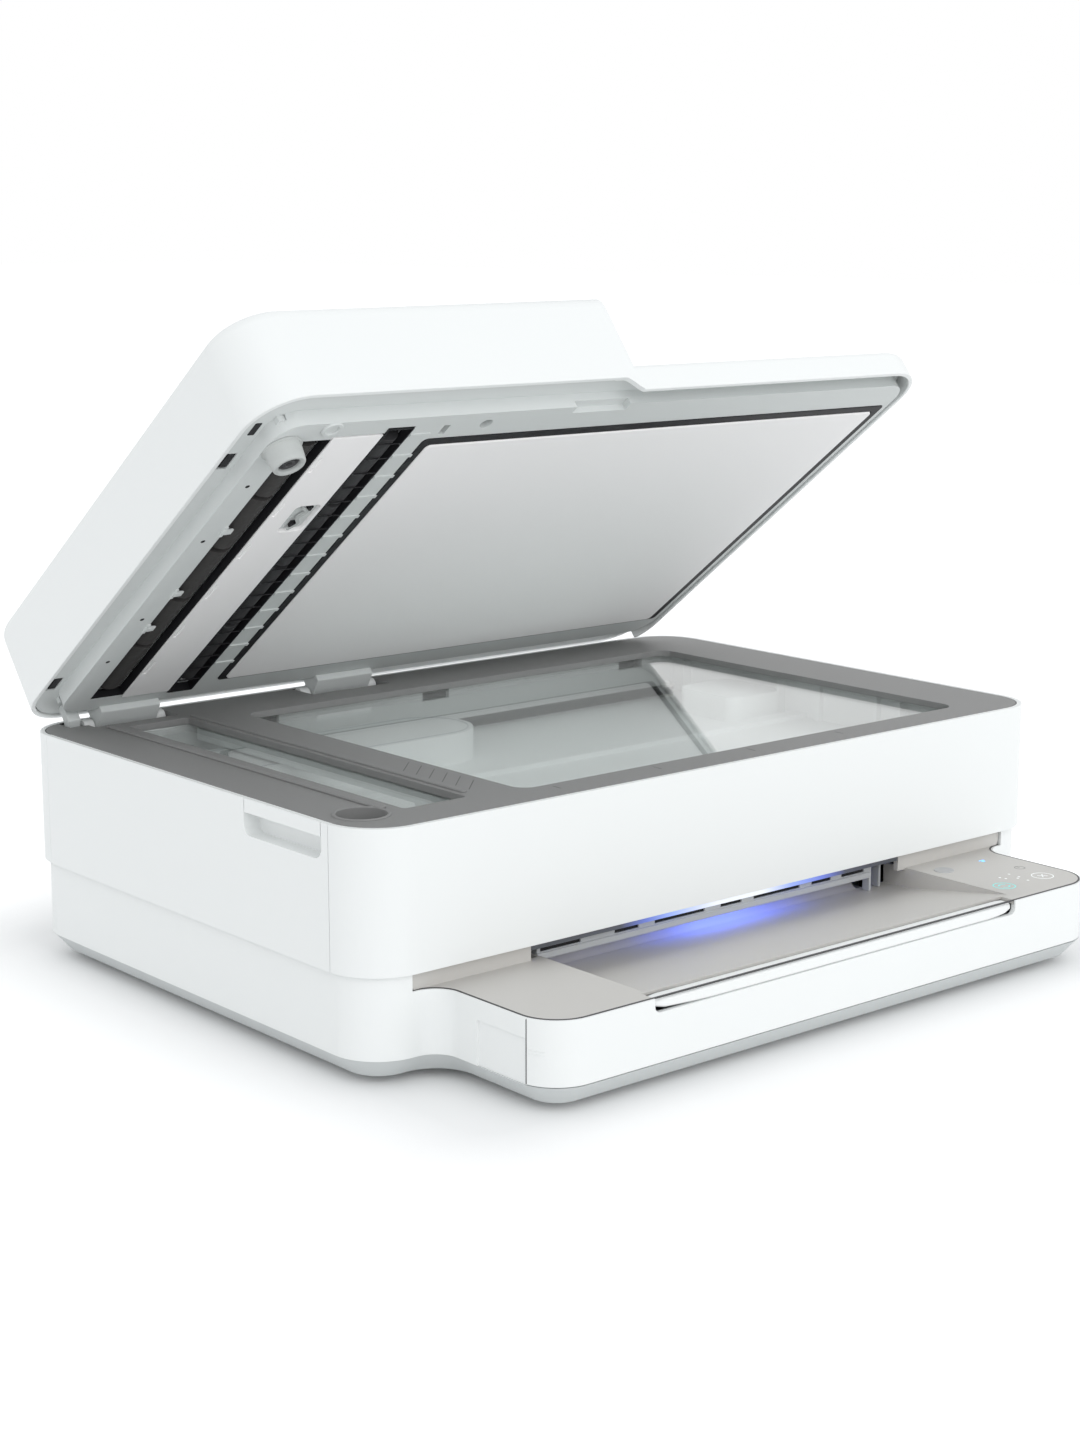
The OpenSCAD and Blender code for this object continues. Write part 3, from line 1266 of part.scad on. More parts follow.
base_pan();
lower_casing();
rubber_feet();
output_deck();
edge_light_bar();
exit_guide();
print_frame();
carriage_rod();
carriage_belt();
carriage_motor();
feed_motor();
platen();
service_station();
main_board();
power_supply();
power_inlet();
usb_port();
power_button();
wireless_button();
feed_roller();
drive_pinion();
exit_roller();
pick_arm();
pick_roller();
print_carriage();
black_cartridge();
colour_cartridge();
left_latch();
right_latch();
drive_pulley();
idler_pulley();
paper_tray();
left_width_guide();
right_width_guide();
guide_pinion();
length_guide();
tray_extender();
front_panel();
left_side_panel();
right_side_panel();
rear_panel();
scanner_tub();
scanner_bezel();
flatbed_glass();
feeder_glass();
scan_bar();
lid_cover();
lid_frame();
document_pad();
pad_backing();
pressure_plate();
lid_bumper();
lid_hinge_arms();
feeder_cover();
feeder_tray();
front_sheet_guide();
rear_sheet_guide();
feeder_roller();
feeder_exit_roller();
feeder_pick_roller();
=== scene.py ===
import bpy
import bmesh
import json
import math
from mathutils import Matrix, Vector


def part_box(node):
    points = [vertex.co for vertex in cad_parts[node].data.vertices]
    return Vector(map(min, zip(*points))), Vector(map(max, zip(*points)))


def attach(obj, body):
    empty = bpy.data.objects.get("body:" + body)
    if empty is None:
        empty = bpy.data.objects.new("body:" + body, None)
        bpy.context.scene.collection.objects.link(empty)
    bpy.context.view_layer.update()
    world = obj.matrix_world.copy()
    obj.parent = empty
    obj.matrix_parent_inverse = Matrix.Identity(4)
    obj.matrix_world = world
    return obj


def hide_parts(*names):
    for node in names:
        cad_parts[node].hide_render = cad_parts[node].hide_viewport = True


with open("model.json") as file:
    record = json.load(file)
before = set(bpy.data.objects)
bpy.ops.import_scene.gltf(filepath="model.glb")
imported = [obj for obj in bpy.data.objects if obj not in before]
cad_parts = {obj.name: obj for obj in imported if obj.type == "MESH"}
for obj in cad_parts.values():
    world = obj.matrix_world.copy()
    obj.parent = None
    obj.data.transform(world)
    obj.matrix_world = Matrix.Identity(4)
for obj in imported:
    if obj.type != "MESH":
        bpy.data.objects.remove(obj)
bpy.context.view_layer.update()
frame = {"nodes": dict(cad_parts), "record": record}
nodes = frame["nodes"]
slotOf = {part["node"]: part["material_slot"] for part in frame["record"]["subparts"]}
bodyOf = {node: body for body, group in frame["record"]["behaviour"]["bodies"].items() for node in group}

# Sizes that more than one piece uses, in millimetres; y runs from the casing's front face to its back
casing = {
    "halfWidth": 216.0, "depth": 283.0, "corner": 25.5, "baseInset": 2.5,
    "extHalf": 176.0, "extFront": -70.0, "extCorner": 20.0, "neck": 12.0,
}
hinge = {"y": 274.9, "z": 110.7, "open": 37.45}  # the lid's opening in degrees
bumperPlace = (-195, 30)
midDepth = -1000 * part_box("front_panel")[0].y

toMetres = Matrix.Scale(0.001, 4)
casingSpace = Matrix.Translation((0, -midDepth * 0.001, 0)) @ toMetres
lidSpace = (Matrix.Translation((0, (hinge["y"] - midDepth) * 0.001, hinge["z"] * 0.001))
            @ Matrix.Rotation(-math.radians(hinge["open"]), 4, "X")
            @ Matrix.Translation((0, -hinge["y"] * 0.001, 0)) @ toMetres)


# Shapes

def rotated(v, angle):
    c, s = math.cos(angle), math.sin(angle)
    return Vector((v.x * c - v.y * s, v.x * s + v.y * c))


def roundedPath(corners, closed=True, step=5.0):
    # Corners are (x, y, radius); gives (x, y, nx, ny) with the normal to the left of the way along
    points = [(c[0], c[1], c[2] if len(c) > 2 else 0.0) for c in corners]
    path = []
    for i, (x, y, r) in enumerate(points):
        here = Vector((x, y))
        dirIn = dirOut = None
        if closed or i > 0:
            dirIn = (here - Vector(points[i - 1][:2])).normalized()
        if closed or i < len(points) - 1:
            dirOut = (Vector(points[(i + 1) % len(points)][:2]) - here).normalized()
        if dirIn is None or dirOut is None:
            way = dirOut if dirIn is None else dirIn
            path.append((x, y, -way.y, way.x))
            continue
        turn = math.atan2(dirIn.cross(dirOut), dirIn.dot(dirOut))
        if r < 1e-6 or abs(turn) < 1e-4:
            mid = (dirIn + dirOut).normalized()
            k = 1.0 / max(0.3, math.cos(turn / 2))
            path.append((x, y, -mid.y * k, mid.x * k))
            continue
        start = here - dirIn * (r * math.tan(abs(turn) / 2))
        side = 1.0 if turn > 0 else -1.0
        centre = start + Vector((-dirIn.y, dirIn.x)) * (r * side)
        parts = max(3, int(round(abs(math.degrees(turn)) / step)))
        for k in range(parts + 1):
            p = centre + rotated(start - centre, turn * k / parts)
            way = rotated(dirIn, turn * k / parts)
            path.append((p.x, p.y, -way.y, way.x))
    return path


def rectCorners(x0, y0, x1, y1, r=0.0):
    return [(x0, y0, r), (x1, y0, r), (x1, y1, r), (x0, y1, r)]


def roundedRect(x0, y0, x1, y1, r=0.0):
    return [(p[0], p[1]) for p in roundedPath(rectCorners(x0, y0, x1, y1, r), True, 7.5)]


def loft(bm, loops, caps=True):
    rings = [[bm.verts.new(p) for p in loop] for loop in loops]
    n = len(rings[0])
    for a, b in zip(rings, rings[1:]):
        for i in range(n):
            j = (i + 1) % n
            bm.faces.new((a[i], a[j], b[j], b[i]))
    if caps:
        bm.faces.new(rings[0][::-1])
        bm.faces.new(rings[-1])


def sweepWall(bm, path, section, closed=False):
    # The section's points are (distance in from the path, height)
    loops = [[(x + nx * d, y + ny * d, z) for d, z in section] for x, y, nx, ny in path]
    if closed:
        loops.append(loops[0])
    loft(bm, loops, not closed)
    if closed:
        bmesh.ops.remove_doubles(bm, verts=bm.verts, dist=1e-5)


def block(bm, x0, y0, z0, x1, y1, z1):
    loft(bm, [[(x0, y0, z), (x1, y0, z), (x1, y1, z), (x0, y1, z)] for z in (z0, z1)])


def prism(bm, axis, a0, a1, section):
    # Points lie in (y, z) for axis x, in (x, z) for axis y and in (x, y) for axis z
    at = "xyz".index(axis)
    loft(bm, [[p[:at] + (a,) + p[at:] for p in section] for a in (a0, a1)])


def circle(x, y, r, parts):
    turns = [2 * math.pi * k / parts for k in range(parts)]
    return [(x + r * math.cos(t), y + r * math.sin(t)) for t in turns]


def turned(bm, centre, rings, parts=48):
    # Rings are (height, radius) of a shape turned about an upright axis
    loft(bm, [[(x, y, z) for x, y in circle(*centre, r, parts)] for z, r in rings])


def plate(bm, outer, holes, z0, z1, edge=0.3):
    # Flat plate with holes; its rims are rounded by edge
    curve = bpy.data.curves.new("plateOutline", "CURVE")
    curve.dimensions = "2D"
    curve.fill_mode = "BOTH"
    curve.extrude = (z1 - z0) / 2 - edge
    curve.bevel_depth = edge
    curve.bevel_resolution = 2
    curve.offset = -edge
    for k, loop in enumerate([outer] + list(holes)):
        area = sum(a[0] * b[1] - b[0] * a[1] for a, b in zip(loop, loop[1:] + loop[:1]))
        if (area > 0) != (k == 0):
            loop = loop[::-1]
        spline = curve.splines.new("POLY")
        spline.points.add(len(loop) - 1)
        for p, (x, y) in zip(spline.points, loop):
            p.co = (x, y, 0, 1)
        spline.use_cyclic_u = True
    holder = bpy.data.objects.new("plateOutline", curve)
    bpy.context.scene.collection.objects.link(holder)
    mesh = finalMesh(holder)
    part = bmesh.new()
    part.from_mesh(mesh)
    bmesh.ops.translate(part, verts=part.verts, vec=(0, 0, (z0 + z1) / 2))
    bmesh.ops.remove_doubles(part, verts=part.verts, dist=1e-4)
    part.to_mesh(mesh)
    part.free()
    bm.from_mesh(mesh)
    bpy.data.meshes.remove(mesh)
    bpy.data.objects.remove(holder)
    bpy.data.curves.remove(curve)


def finalMesh(obj):
    return bpy.data.meshes.new_from_object(obj.evaluated_get(bpy.context.evaluated_depsgraph_get()))


def applied(obj):
    mesh, old = finalMesh(obj), obj.data
    obj.modifiers.clear()
    obj.data = mesh
    bpy.data.meshes.remove(old)


def newObject(name, bm, space):
    bmesh.ops.recalc_face_normals(bm, faces=bm.faces)
    bm.transform(space)
    mesh = bpy.data.meshes.new(name)
    bm.to_mesh(mesh)
    bm.free()
    obj = bpy.data.objects.new(name, mesh)
    bpy.context.scene.collection.objects.link(obj)
    return obj


def combined(first, second, how):
    # Exact boolean of two closed meshes; returns the result as a new mesh
    holders = [newObject("booleanPart", source, Matrix.Identity(4)) for source in (first, second)]
    tool = holders[0].modifiers.new("boolean", "BOOLEAN")
    tool.operation = how
    tool.solver = "EXACT"
    tool.object = holders[1]
    result = finalMesh(holders[0])
    bm = bmesh.new()
    bm.from_mesh(result)
    bpy.data.meshes.remove(result)
    for holder in holders:
        mesh = holder.data
        bpy.data.objects.remove(holder)
        bpy.data.meshes.remove(mesh)
    return bm


def without(bm, *boxes):
    # The shape with blocks cut out of it; a block is (x0, y0, z0, x1, y1, z1)
    cutter = bmesh.new()
    for box in boxes:
        block(cutter, *box)
    return combined(bm, cutter, "DIFFERENCE")


finish = {}
dressed = set()


def piece(name, bm, space, body, slot, replaces=(), bevel=0.0, bevelAngle=50, smoothAngle=35, look=None):
    # Turns the mesh into a finished piece that rides on its body; look is a finish other than the slot's own
    obj = newObject(name, bm, space)
    if bevel > 0:
        tool = obj.modifiers.new("bevel", "BEVEL")
        tool.width = bevel * 0.001
        tool.segments = 2
        tool.limit_method = "ANGLE"
        tool.angle_limit = math.radians(bevelAngle)
        tool.use_clamp_overlap = True
        tool.harden_normals = False
        applied(obj)
    obj.data.polygons.foreach_set("use_smooth", [True] * len(obj.data.polygons))
    obj.data.set_sharp_from_angle(angle=math.radians(smoothAngle))
    tool = obj.modifiers.new("normals", "WEIGHTED_NORMAL")
    tool.keep_sharp = True
    tool.weight = 75
    applied(obj)
    obj.data.materials.clear()
    obj.data.materials.append(finish[look or slot])
    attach(obj, body)
    if replaces:
        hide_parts(*replaces)
        dressed.update(replaces)
    return obj


def softened(node, bevel=0.35, name=None, slot=None):
    # A copy of a CAD solid with rounded rims
    bm = bmesh.new()
    bm.from_mesh(nodes[node].data)
    bmesh.ops.remove_doubles(bm, verts=bm.verts, dist=1e-6)
    bmesh.ops.dissolve_limit(bm, angle_limit=math.radians(1.0), verts=bm.verts, edges=bm.edges)
    label = name or "".join(word.capitalize() for word in node.split("_"))
    piece(label, bm, Matrix.Identity(4), bodyOf[node], slot or slotOf[node], (node,), bevel, 40)


# Finishes

def nodeGroup(name, inputs, outputs):
    tree = bpy.data.node_groups.new(name, "ShaderNodeTree")
    for label, value in inputs:
        tree.interface.new_socket(label, in_out="INPUT", socket_type="NodeSocketFloat").default_value = value
    for label in outputs:
        tree.interface.new_socket(label, in_out="OUTPUT", socket_type="NodeSocketFloat")
    return tree, tree.nodes.new("NodeGroupInput").outputs, tree.nodes.new("NodeGroupOutput").inputs


def mathNode(tree, kind, a, b):
    node = tree.nodes.new("ShaderNodeMath")
    node.operation = kind
    for socket, value in zip(node.inputs, (a, b)):
        if isinstance(value, (int, float)):
            socket.default_value = value
        else:
            tree.links.new(value, socket)
    return node.outputs[0]


def rangeNode(tree, value, low, high, toLow, toHigh):
    node = tree.nodes.new("ShaderNodeMapRange")
    tree.links.new(value, node.inputs["Value"])
    for label, number in (("From Min", low), ("From Max", high), ("To Min", toLow), ("To Max", toHigh)):
        node.inputs[label].default_value = number
    return node.outputs[0]


def noiseNode(tree, scale, detail, coords, rough=0.5):
    node = tree.nodes.new("ShaderNodeTexNoise")
    node.inputs["Detail"].default_value = detail
    node.inputs["Roughness"].default_value = rough
    tree.links.new(scale, node.inputs["Scale"])
    tree.links.new(coords, node.inputs["Vector"])
    return node.outputs[0]


def mouldedGrain():
    # Fine grain of a moulding tool, with a slow drift of tone across the part
    tree, given, result = nodeGroup("mouldedGrain", [
        ("Grain Scale", 3500.0), ("Drift Scale", 9.0), ("Roughness", 0.4), ("Roughness Spread", 0.05),
        ("Tone Spread", 0.02)], ["Height", "Roughness", "Tone"])
    place = tree.nodes.new("ShaderNodeTexCoord").outputs["Object"]
    fine = noiseNode(tree, given["Grain Scale"], 3.0, place, 0.6)
    cell = tree.nodes.new("ShaderNodeTexVoronoi")
    tree.links.new(place, cell.inputs["Vector"])
    tree.links.new(mathNode(tree, "MULTIPLY", given["Grain Scale"], 0.45), cell.inputs["Scale"])
    drift = noiseNode(tree, given["Drift Scale"], 2.0, place)
    tree.links.new(mathNode(tree, "ADD", fine, cell.outputs["Distance"]), result["Height"])
    spread = mathNode(tree, "MULTIPLY", mathNode(tree, "SUBTRACT", drift, 0.5), given["Roughness Spread"])
    tree.links.new(mathNode(tree, "ADD", spread, given["Roughness"]), result["Roughness"])
    mixed = mathNode(
        tree, "ADD", mathNode(tree, "MULTIPLY", fine, 0.4), mathNode(tree, "MULTIPLY", drift, 0.6))
    tone = mathNode(tree, "MULTIPLY", mathNode(tree, "SUBTRACT", mixed, 0.5), given["Tone Spread"])
    tree.links.new(mathNode(tree, "ADD", tone, 1.0), result["Tone"])
    return tree


def handledScuff():
    # Fine scratches and handling marks, drawn out along one axis
    tree, given, result = nodeGroup("handledScuff", [("Scale", 400.0), ("Roughness", 0.3), ("Amount", 0.1)],
                                    ["Height", "Roughness"])
    stretch = tree.nodes.new("ShaderNodeMapping")
    stretch.inputs["Scale"].default_value = (0.04, 1.0, 1.0)
    tree.links.new(tree.nodes.new("ShaderNodeTexCoord").outputs["Object"], stretch.inputs["Vector"])
    lines = noiseNode(tree, given["Scale"], 4.0, stretch.outputs[0], 0.7)
    tree.links.new(lines, result["Height"])
    part = mathNode(tree, "MULTIPLY", mathNode(tree, "SUBTRACT", lines, 0.5), given["Amount"])
    tree.links.new(mathNode(tree, "ADD", part, given["Roughness"]), result["Roughness"])
    return tree


grainGroup, scuffGroup = mouldedGrain(), handledScuff()


def placed(tree, group, **values):
    # Puts a node group into a material; values are its inputs, named without spaces
    node = tree.nodes.new("ShaderNodeGroup")
    node.node_tree = group
    for socket in node.inputs:
        key = socket.name.replace(" ", "")
        if key in values:
            socket.default_value = values[key]
    return node.outputs


def surface(slot, color, roughness=0.4, grain=3500.0, bump=0.02, spread=0.05, tone=0.02, metallic=0.0,
            coat=0.0, scuff=False, specular=0.5):
    mat = bpy.data.materials.new(slot)
    mat.use_nodes = True
    tree = mat.node_tree
    shader = tree.nodes["Principled BSDF"]
    shader.inputs["Metallic"].default_value = metallic
    shader.inputs["Specular IOR Level"].default_value = specular
    shader.inputs["Coat Weight"].default_value = coat
    shader.inputs["Coat Roughness"].default_value = 0.12
    detail = placed(
        tree, grainGroup, GrainScale=grain, Roughness=roughness, RoughnessSpread=spread, ToneSpread=tone)
    tint = tree.nodes.new("ShaderNodeVectorMath")
    tint.operation = "SCALE"
    tint.inputs[0].default_value = color
    tree.links.new(detail["Tone"], tint.inputs["Scale"])
    tree.links.new(tint.outputs[0], shader.inputs["Base Color"])
    if scuff:
        detail = placed(tree, scuffGroup, Roughness=roughness, Amount=spread)
    tree.links.new(detail["Roughness"], shader.inputs["Roughness"])
    relief = tree.nodes.new("ShaderNodeBump")
    relief.inputs["Strength"].default_value = 1.0
    relief.inputs["Distance"].default_value = bump * 0.001
    tree.links.new(detail["Height"], relief.inputs["Height"])
    tree.links.new(relief.outputs[0], shader.inputs["Normal"])
    finish[slot] = mat
    return mat, tree, shader


# Colour, roughness, grain scale, grain depth in mm, and then spread of roughness and tone where they differ
finishes = {
    "white_casing": ((0.850, 0.866, 0.861), 0.42, 3200, 0.006, 0.05, 0.012),
    "grey_pan": ((0.62, 0.645, 0.645), 0.5, 3000, 0.008),
    "black_rubber": ((0.035, 0.035, 0.037), 0.75, 2500, 0.02),
    "warm_grey_plastic": ((0.575, 0.56, 0.535), 0.45, 2800, 0.012, 0.05, 0.03),
    "pale_grey_plastic": ((0.50, 0.515, 0.53), 0.45, 3000, 0.01),
    "zinc_steel": ((0.55, 0.56, 0.57), 0.35, 900, 0.004, 0.12, 0.06, 1.0),
    "bright_steel": ((0.72, 0.72, 0.73), 0.2, 2000, 0.002, 0.08, 0.03, 1.0, 0.0, True),
    "belt_rubber": ((0.03, 0.03, 0.03), 0.7, 2500, 0.02),
    "motor_steel": ((0.42, 0.42, 0.43), 0.32, 1500, 0.004, 0.1, 0.05, 1.0, 0.0, True),
    "dark_plastic": ((0.05, 0.05, 0.053), 0.5, 2800, 0.015),
    "black_plastic": ((0.014, 0.014, 0.016), 0.5, 2800, 0.015, 0.05, 0.02, 0.0, 0.0, False, 0.22),
    "circuit_board": ((0.025, 0.16, 0.07), 0.35, 1200, 0.01, 0.1, 0.15),
    "button_grey": ((0.48, 0.485, 0.49), 0.4, 3000, 0.008),
    "roller_rubber": ((0.032, 0.032, 0.034), 0.7, 1800, 0.03, 0.1, 0.1),
    "gear_plastic": ((0.72, 0.71, 0.66), 0.42, 3000, 0.006),
    "cartridge_grey": ((0.10, 0.105, 0.125), 0.45, 2800, 0.01),
    "latch_blue": ((0.05, 0.19, 0.42), 0.35, 3000, 0.006, 0.05, 0.02, 0.0, 0.2),
    "tub_plastic": ((0.84, 0.85, 0.845), 0.5, 2800, 0.01),
    "bezel_grey": ((0.240, 0.240, 0.238), 0.55, 1900, 0.02, 0.06, 0.05),
    "lid_grey": ((0.66, 0.685, 0.678), 0.48, 2800, 0.01, 0.05, 0.02),
    "pad_white": ((0.97, 0.955, 0.955), 0.6, 1500, 0.01, 0.05, 0.015),
    "pale_rubber": ((0.50, 0.52, 0.51), 0.55, 2500, 0.01),
    "grey_foam": ((0.040, 0.038, 0.037), 0.85, 900, 0.12, 0.1, 0.25),
}
for slotName, values in finishes.items():
    surface(slotName, *values)

glass = {
    "tint": (0.955, 0.975, 0.97, 1), "shadowTint": (0.93, 0.95, 0.945, 1), "bend": 1.3, "roughness": 0.02,
}


def glassFinish(slot):
    mat = bpy.data.materials.new(slot)
    mat.use_nodes = True
    tree = mat.node_tree
    shader = tree.nodes["Principled BSDF"]
    shader.inputs["Base Color"].default_value = glass["tint"]
    shader.inputs["Metallic"].default_value = 0.0
    shader.inputs["Transmission Weight"].default_value = 1.0
    shader.inputs["IOR"].default_value = glass["bend"]
    marks = placed(tree, scuffGroup, Roughness=glass["roughness"], Amount=0.02)
    tree.links.new(marks["Roughness"], shader.inputs["Roughness"])
    clear = tree.nodes.new("ShaderNodeBsdfTransparent")  # lets light through to the tub below
    clear.inputs[0].default_value = glass["shadowTint"]
    way = tree.nodes.new("ShaderNodeLightPath").outputs
    blend = tree.nodes.new("ShaderNodeMixShader")
    tree.links.new(mathNode(tree, "MAXIMUM", way["Is Shadow Ray"], way["Is Diffuse Ray"]), blend.inputs[0])
    tree.links.new(shader.outputs[0], blend.inputs[1])
    tree.links.new(clear.outputs[0], blend.inputs[2])
    tree.links.new(blend.outputs[0], tree.nodes["Material Output"].inputs[0])
    finish[slot] = mat


glassFinish("clear_glass")

# Lit parts of the exit slot: the light fades from the lamp's place towards both ends
lit = {
    "color": (0.10, 0.11, 0.125), "left": -0.124, "right": 0.113, "lensStrength": 11.0, "stripStrength": 1.0,
    "lens": [
        (0.0, (0.02, 0.02, 0.03)), (0.30, (0.03, 0.035, 0.07)), (0.40, (0.05, 0.08, 0.45)),
        (0.48, (0.12, 0.2, 1.0)), (0.60, (0.12, 0.2, 1.0)), (0.70, (0.05, 0.08, 0.45)),
        (0.80, (0.03, 0.035, 0.07)), (1.0, (0.02, 0.02, 0.03))],
    "strip": [
        (0.0, (0.0, 0.0, 0.0)), (0.22, (0.02, 0.02, 0.03)), (0.29, (0.10, 0.16, 0.62)),
        (0.36, (0.32, 0.45, 0.95)), (0.47, (0.86, 0.90, 0.95)), (0.60, (0.88, 0.92, 0.96)),
        (0.68, (0.30, 0.42, 0.95)), (0.77, (0.12, 0.18, 0.70)), (0.84, (0.02, 0.02, 0.04)),
        (1.0, (0.0, 0.0, 0.0))],
}


def litFinish(name, stops, strength):
    mat, tree, shader = surface(name, lit["color"], 0.3, 3000, 0.004)
    split = tree.nodes.new("ShaderNodeSeparateXYZ")
    tree.links.new(tree.nodes.new("ShaderNodeTexCoord").outputs["Object"], split.inputs[0])
    ramp = tree.nodes.new("ShaderNodeValToRGB")
    tree.links.new(rangeNode(tree, split.outputs[0], lit["left"], lit["right"], 0.0, 1.0), ramp.inputs[0])
    while len(ramp.color_ramp.elements) < len(stops):
        ramp.color_ramp.elements.new(0.5)
    for element, (place, tint) in zip(ramp.color_ramp.elements, stops):
        element.position = place
        element.color = tint + (1,)
    tree.links.new(ramp.outputs[0], shader.inputs["Emission Color"])
    shader.inputs["Emission Strength"].default_value = strength


litFinish("glow_lens", lit["lens"], lit["lensStrength"])
litFinish("light_strip", lit["strip"], lit["stripStrength"])
print("finishes ready:", len(finish))

# Lid cover: a thick left part that holds the feeder and a thin right part, joined by a curved step
cover = {
    "step": -7.0, "right": 190.0, "back": 283.0, "leftRadius": 25.4, "stepRadius": 3.0,
    "wall": 2.5, "floor": 2.7,
    "thickRim": 10.8, "thickTop": 56.2, "thickFillet": 6.0,
    "thinRim": 3.7, "thinTop": 18.2, "thinFillet": 4.0,
    "tongue": -22.0, "doorLeft": -205.9, "doorFront": 22.0, "doorBack": 257.0,
    "trayFront": 30.0, "trayBack": 253.0, "trayLevel": 44.2,
    "rimCurve": 10.0, "rimLeft": 10.75, "rimRight": 3.6, "hingeFront": 271.9, "hingeTop": 9.2,
}


def smoothStep(x0, z0, x1, z1, parts=10):
    # An S-shaped run between two levels
    steps = [k / parts for k in range(parts + 1)]
    return [(x0 + (x1 - x0) * t, z0 + (z1 - z0) * t * t * (3 - 2 * t)) for t in steps]


def softShell(bm, x0, y0, x1, y1, rLeft, rRight, z0, z1, fillet):
    wall = cover["wall"]

    def loop(inset, z, roll):
        # roll runs from 0 on the straight wall to 1 at the top face
        gl, gr = (min(fillet, r) * roll + inset for r in (rLeft, rRight))
        rl, rr = max(rLeft - gl, 0.15), max(rRight - gr, 0.15)
        corners = [(x0 + gl, y0 + gl, rl), (x1 - gr, y0 + gr, rr),
                   (x1 - gr, y1 - gr, rr), (x0 + gl, y1 - gl, rl)]
        return [(p[0], p[1], z) for p in roundedPath(corners)]

    arcs = [math.radians(90 * k / 8) for k in range(9)]
    hollow = fillet - wall
    outer = [loop(0, z1 - fillet + fillet * math.sin(a), 1 - math.cos(a)) for a in arcs[::-1]]
    rimPoints = [(0, 0.6), (0.18, 0.18), (0.6, 0), (wall - 0.4, 0), (wall, 0.4)]
    rim = [loop(inset, z0 + height, 0) for inset, height in rimPoints]
    inner = [loop(wall, z1 - fillet + hollow * math.sin(a), (1 - math.cos(a)) * hollow / fillet)
             for a in arcs]
    loft(bm, outer + rim + inner)


step, inside, insideBack = cover["step"], cover["wall"], cover["back"] - cover["wall"]
thick = bmesh.new()
softShell(thick, -casing["halfWidth"], 0, step, cover["back"], cover["leftRadius"], cover["stepRadius"],
          cover["thickRim"], cover["thickTop"], cover["thickFillet"])
for opening in (
        (cover["doorLeft"], cover["doorFront"], cover["trayLevel"], step + 1, cover["doorBack"], 60),
        (step - 10, cover["trayFront"], cover["thinTop"] + 3,
         step + 1, cover["trayBack"], cover["trayLevel"] - 4.5),
        (step - 8, inside, cover["floor"], step + 0.05, insideBack, cover["thinTop"] - 2.5)):
    thick = without(thick, opening)
thin = bmesh.new()
softShell(thin, cover["tongue"], 0, cover["right"], cover["back"], cover["stepRadius"], cover["leftRadius"],
          cover["thinRim"], cover["thinTop"], cover["thinFillet"])
thinCut = bmesh.new()
rimStep = smoothStep(step - cover["rimCurve"], cover["rimLeft"], step, cover["rimRight"])
prism(thinCut, "y", -1, cover["back"] + 1, [(-24, -1), (-24, cover["rimLeft"])] + rimStep + [(step, -1)])
thin = combined(thin, thinCut, "DIFFERENCE")
thin = without(thin, (cover["tongue"] - 1, inside, 0, step - 0.05, insideBack, 30))
thin = without(thin, (step - 1, cover["hingeFront"], 0, 217, cover["back"] + 1, cover["hingeTop"]))
shell = combined(thick, thin, "UNION")
piece("lidCover", shell, lidSpace, "lid", "white_casing", ("lid_cover",), 0.45, 60, 32)
print("lid cover ready")

# Front slot: rail with windows and tabs, its bracket, and the lit strip and lens above it
rail = {
    "left": -116.5, "right": 98.0,
    "windowLow": 42.9, "windowHigh": 45.3, "windowFront": 8.0, "windowBack": 12.2,
    "windows": [(-114.5, -90.9), (-70.6, -56.0), (-46.0, -14.5), (-4.1, 9.6), (17.6, 48.8), (57.0, 70.5),
                (78.0, 94.0)],
    "section": [(8.7, 39.6), (9.1, 39.2), (12.6, 38.8), (13.0, 39.4), (13.0, 45.4), (12.4, 46.0), (9.7, 46.0),
                (9.2, 45.5), (9.2, 42.5), (8.5, 42.1)],
    "tab": [(12.9, 45.2), (12.9, 43.4), (21.0, 42.0), (23.0, 41.0), (23.0, 42.0), (21.2, 44.2)],
    "tabGap": 1.2,
    "armSection": [(99.6, 9.8), (112.8, 9.8), (112.8, 22), (109, 22), (106, 14), (99.6, 12.4)],
}
railBody = bmesh.new()
prism(railBody, "x", rail["left"], rail["right"], rail["section"])
frontLow, backHigh = (rail["windowFront"], rail["windowLow"]), (rail["windowBack"], rail["windowHigh"])
railBody = without(railBody, *[(x0, *frontLow, x1, *backHigh) for x0, x1 in rail["windows"]])
piece("exitRail", railBody, casingSpace, "base", "pale_grey_plastic", ("exit_guide",), 0.15)

# Black blocks that fill the rail's windows: painted shade standing in for the dark slot behind them
windowShade = bmesh.new()
for x0, x1 in rail["windows"]:
    block(windowShade, x0 + 0.05, 9.9, rail["windowLow"] + 0.05, x1 - 0.05, 12.1, rail["windowHigh"] - 0.05)
piece("exitWindows", windowShade, casingSpace, "base", "black_plastic", (), 0.1)

bracket = bmesh.new()
block(bracket, 98.3, 9.6, 32.2, 99.8, 14.0, 46.0)
prism(bracket, "z", 44.2, 45.6, rail["armSection"])
block(bracket, 108.0, 12, 32.2, 109.4, 22, 44.4)
piece("exitBracket", bracket, casingSpace, "base", "pale_grey_plastic", (), 0.2)

tabs = bmesh.new()
for before, after in zip(rail["windows"], rail["windows"][1:]):
    prism(tabs, "x", before[1] + rail["tabGap"], after[0] - rail["tabGap"], rail["tab"])
piece("exitTabs", tabs, casingSpace, "base", "pale_grey_plastic", (), 0.2)

strip = bmesh.new()
plate(strip, roundedRect(-123.8, 4, 112.8, 6.6, 0.6), [], 46.4, 49.4, 0.4)
piece("edgeLightBar", strip, casingSpace, "base", "light_strip", ("edge_light_bar",))
lens = bmesh.new()
plate(lens, roundedRect(-112, 12.9, 96, 16.6, 1.5), [], 40.2, 41.2, 0.3)
piece("glowLens", lens, casingSpace, "base", "light_strip", look="glow_lens")
print("front slot ready")
